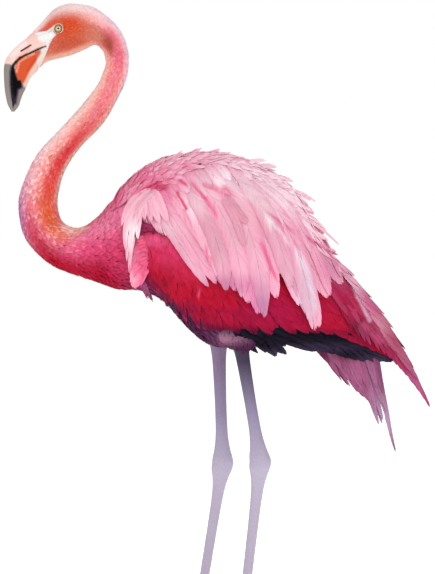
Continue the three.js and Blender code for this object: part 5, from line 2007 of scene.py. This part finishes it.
# %% Rear plumes
PLUME_GUIDES = [
    (130, 600, 170, 556, 196, 499), (132, 606, 181, 552, 216, 482), (134, 612, 194, 546, 238, 468),
    (136, 618, 205, 541, 257, 453), (138, 624, 216, 535, 275, 434), (140, 630, 227, 528, 292, 412),
    (142, 634, 237, 520, 309, 388),
]
PLUME_PATCHES = [
    (180, 600, 24, 22, "#DE8FB0", 0.85), (191, 529, 36, 34, "#9E1438", 0.95),
    (206, 497, 24, 20, "#6A082A", 0.9), (240, 532, 16, 30, "#C85A84", 0.9),
    (250, 484, 28, 18, "#8C2448", 0.95), (292, 422, 24, 40, "#A6527C", 0.95),
]
PLUME_STROKES = [
    (188, 584, 204, 548, 3.2, "#DBA4BE", 0.85), (204, 548, 220, 514, 3.0, "#D4A0BC", 0.8),
    (212, 508, 236, 484, 4.0, "#B04468", 0.8), (228, 560, 246, 524, 2.4, "#D890B0", 0.6),
]
TAIL_PATCHES = [
    (165, 446, 20, 34, "#8E3E64", 0.9), (198, 430, 18, 30, "#A2587E", 0.9),
    (226, 410, 12, 50, "#98587E", 0.85), (240, 365, 22, 42, "#A98AA6", 0.85),
]
PLUME_ROWS = [
    (0.3, 1.0, 0, 6, 14, 6.5, 4.5, -8.5, -3.5, 1.6, 40),
    (0.16, 0.86, 0, 5.9, 11, 7, 5, -8.0, -3.0, 1.8, 36),
    (0.08, 0.68, 0, 5.8, 9, 8, 6, -7.6, -3.2, 2.6, 26),
]
crimson_rose = painter(
    "#9E264E", PLUME_PATCHES, "#92183E", 0.35, "#C06890", 0.15, "#C46088", 0.3, PLUME_STROKES
)
plumes = Fan(shoulders, PLUME_GUIDES)
MAUVE_FINISH = ("mauve_vane", "mauve_feathers")
rump_end = shoulders.last - 0.6
rump_levels = (((8.4, 1.0), (rump_end, 1.0)), ((8.4, 0.5), (rump_end, 0.4)))
for name, side in SIDES.items():
    bed(f"rump_bed_{name}", shoulders, side, rump_levels, (-8, -11), crimson_rose, MAUVE_FINISH)
    batches = fan_rows(plumes, PLUME_ROWS, side, crimson_rose, 50 + side)
    add_coat(f"plumes_{name}", batches, MAUVE_FINISH, [f"plumes_{name}"], firm=True)

# %% Tail
TAIL_FORM = [
    (246, 486, 148, 484, 13), (244, 450, 158, 446, 15), (245, 425, 180, 420, 14),
    (249, 400, 203, 395, 11), (253, 372, 222, 368, 8), (257, 345, 238, 342, 5),
    (260, 321, 256, 320, 2),
]
TAIL_GUIDES = [
    (140, 484, 158, 455, 178, 424), (152, 484, 175, 450, 198, 411), (168, 484, 190, 440, 217, 397),
    (186, 484, 208, 425, 224, 392), (200, 484, 220, 415, 235, 357), (214, 484, 232, 420, 245, 380),
    (226, 484, 240, 413, 258, 322),
]
TAIL_ROWS = [
    (0.0, 1.0, 0, 6, 12, 5.5, 4.5, -5.0, -3.0, 1.3, 44),
    (0.0, 0.8, 0.3, 5.6, 8, 5, 4.5, -3.5, -1.8, 1.4, 36),
    (0.0, 0.56, 0, 5.8, 7, 5.5, 5, -2.0, -0.4, 2.0, 26),
]
mauve = painter("#7C385A", TAIL_PATCHES, "#74284E", 0.4, "#B07C9C", 0.2, "#B87C9E", 0.3)
tail_form = Form(TAIL_FORM, BODY_SQUARENESS)
tail = Fan(tail_form, TAIL_GUIDES)
batches = []
for side in SIDES.values():
    batches += fan_rows(tail, TAIL_ROWS, side, mauve, 60 + side)
add_coat("tail_feathers", batches, MAUVE_FINISH, ["tail"], firm=True)

# %% [markdown]
# ## The size once more
#
# The feathers should fill the imported bird's box and hardly pass it, so we measure the box
# again and print it, as we did the first.

# %% Look at the size and finish
box_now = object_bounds()
print_box("box now", box_now)
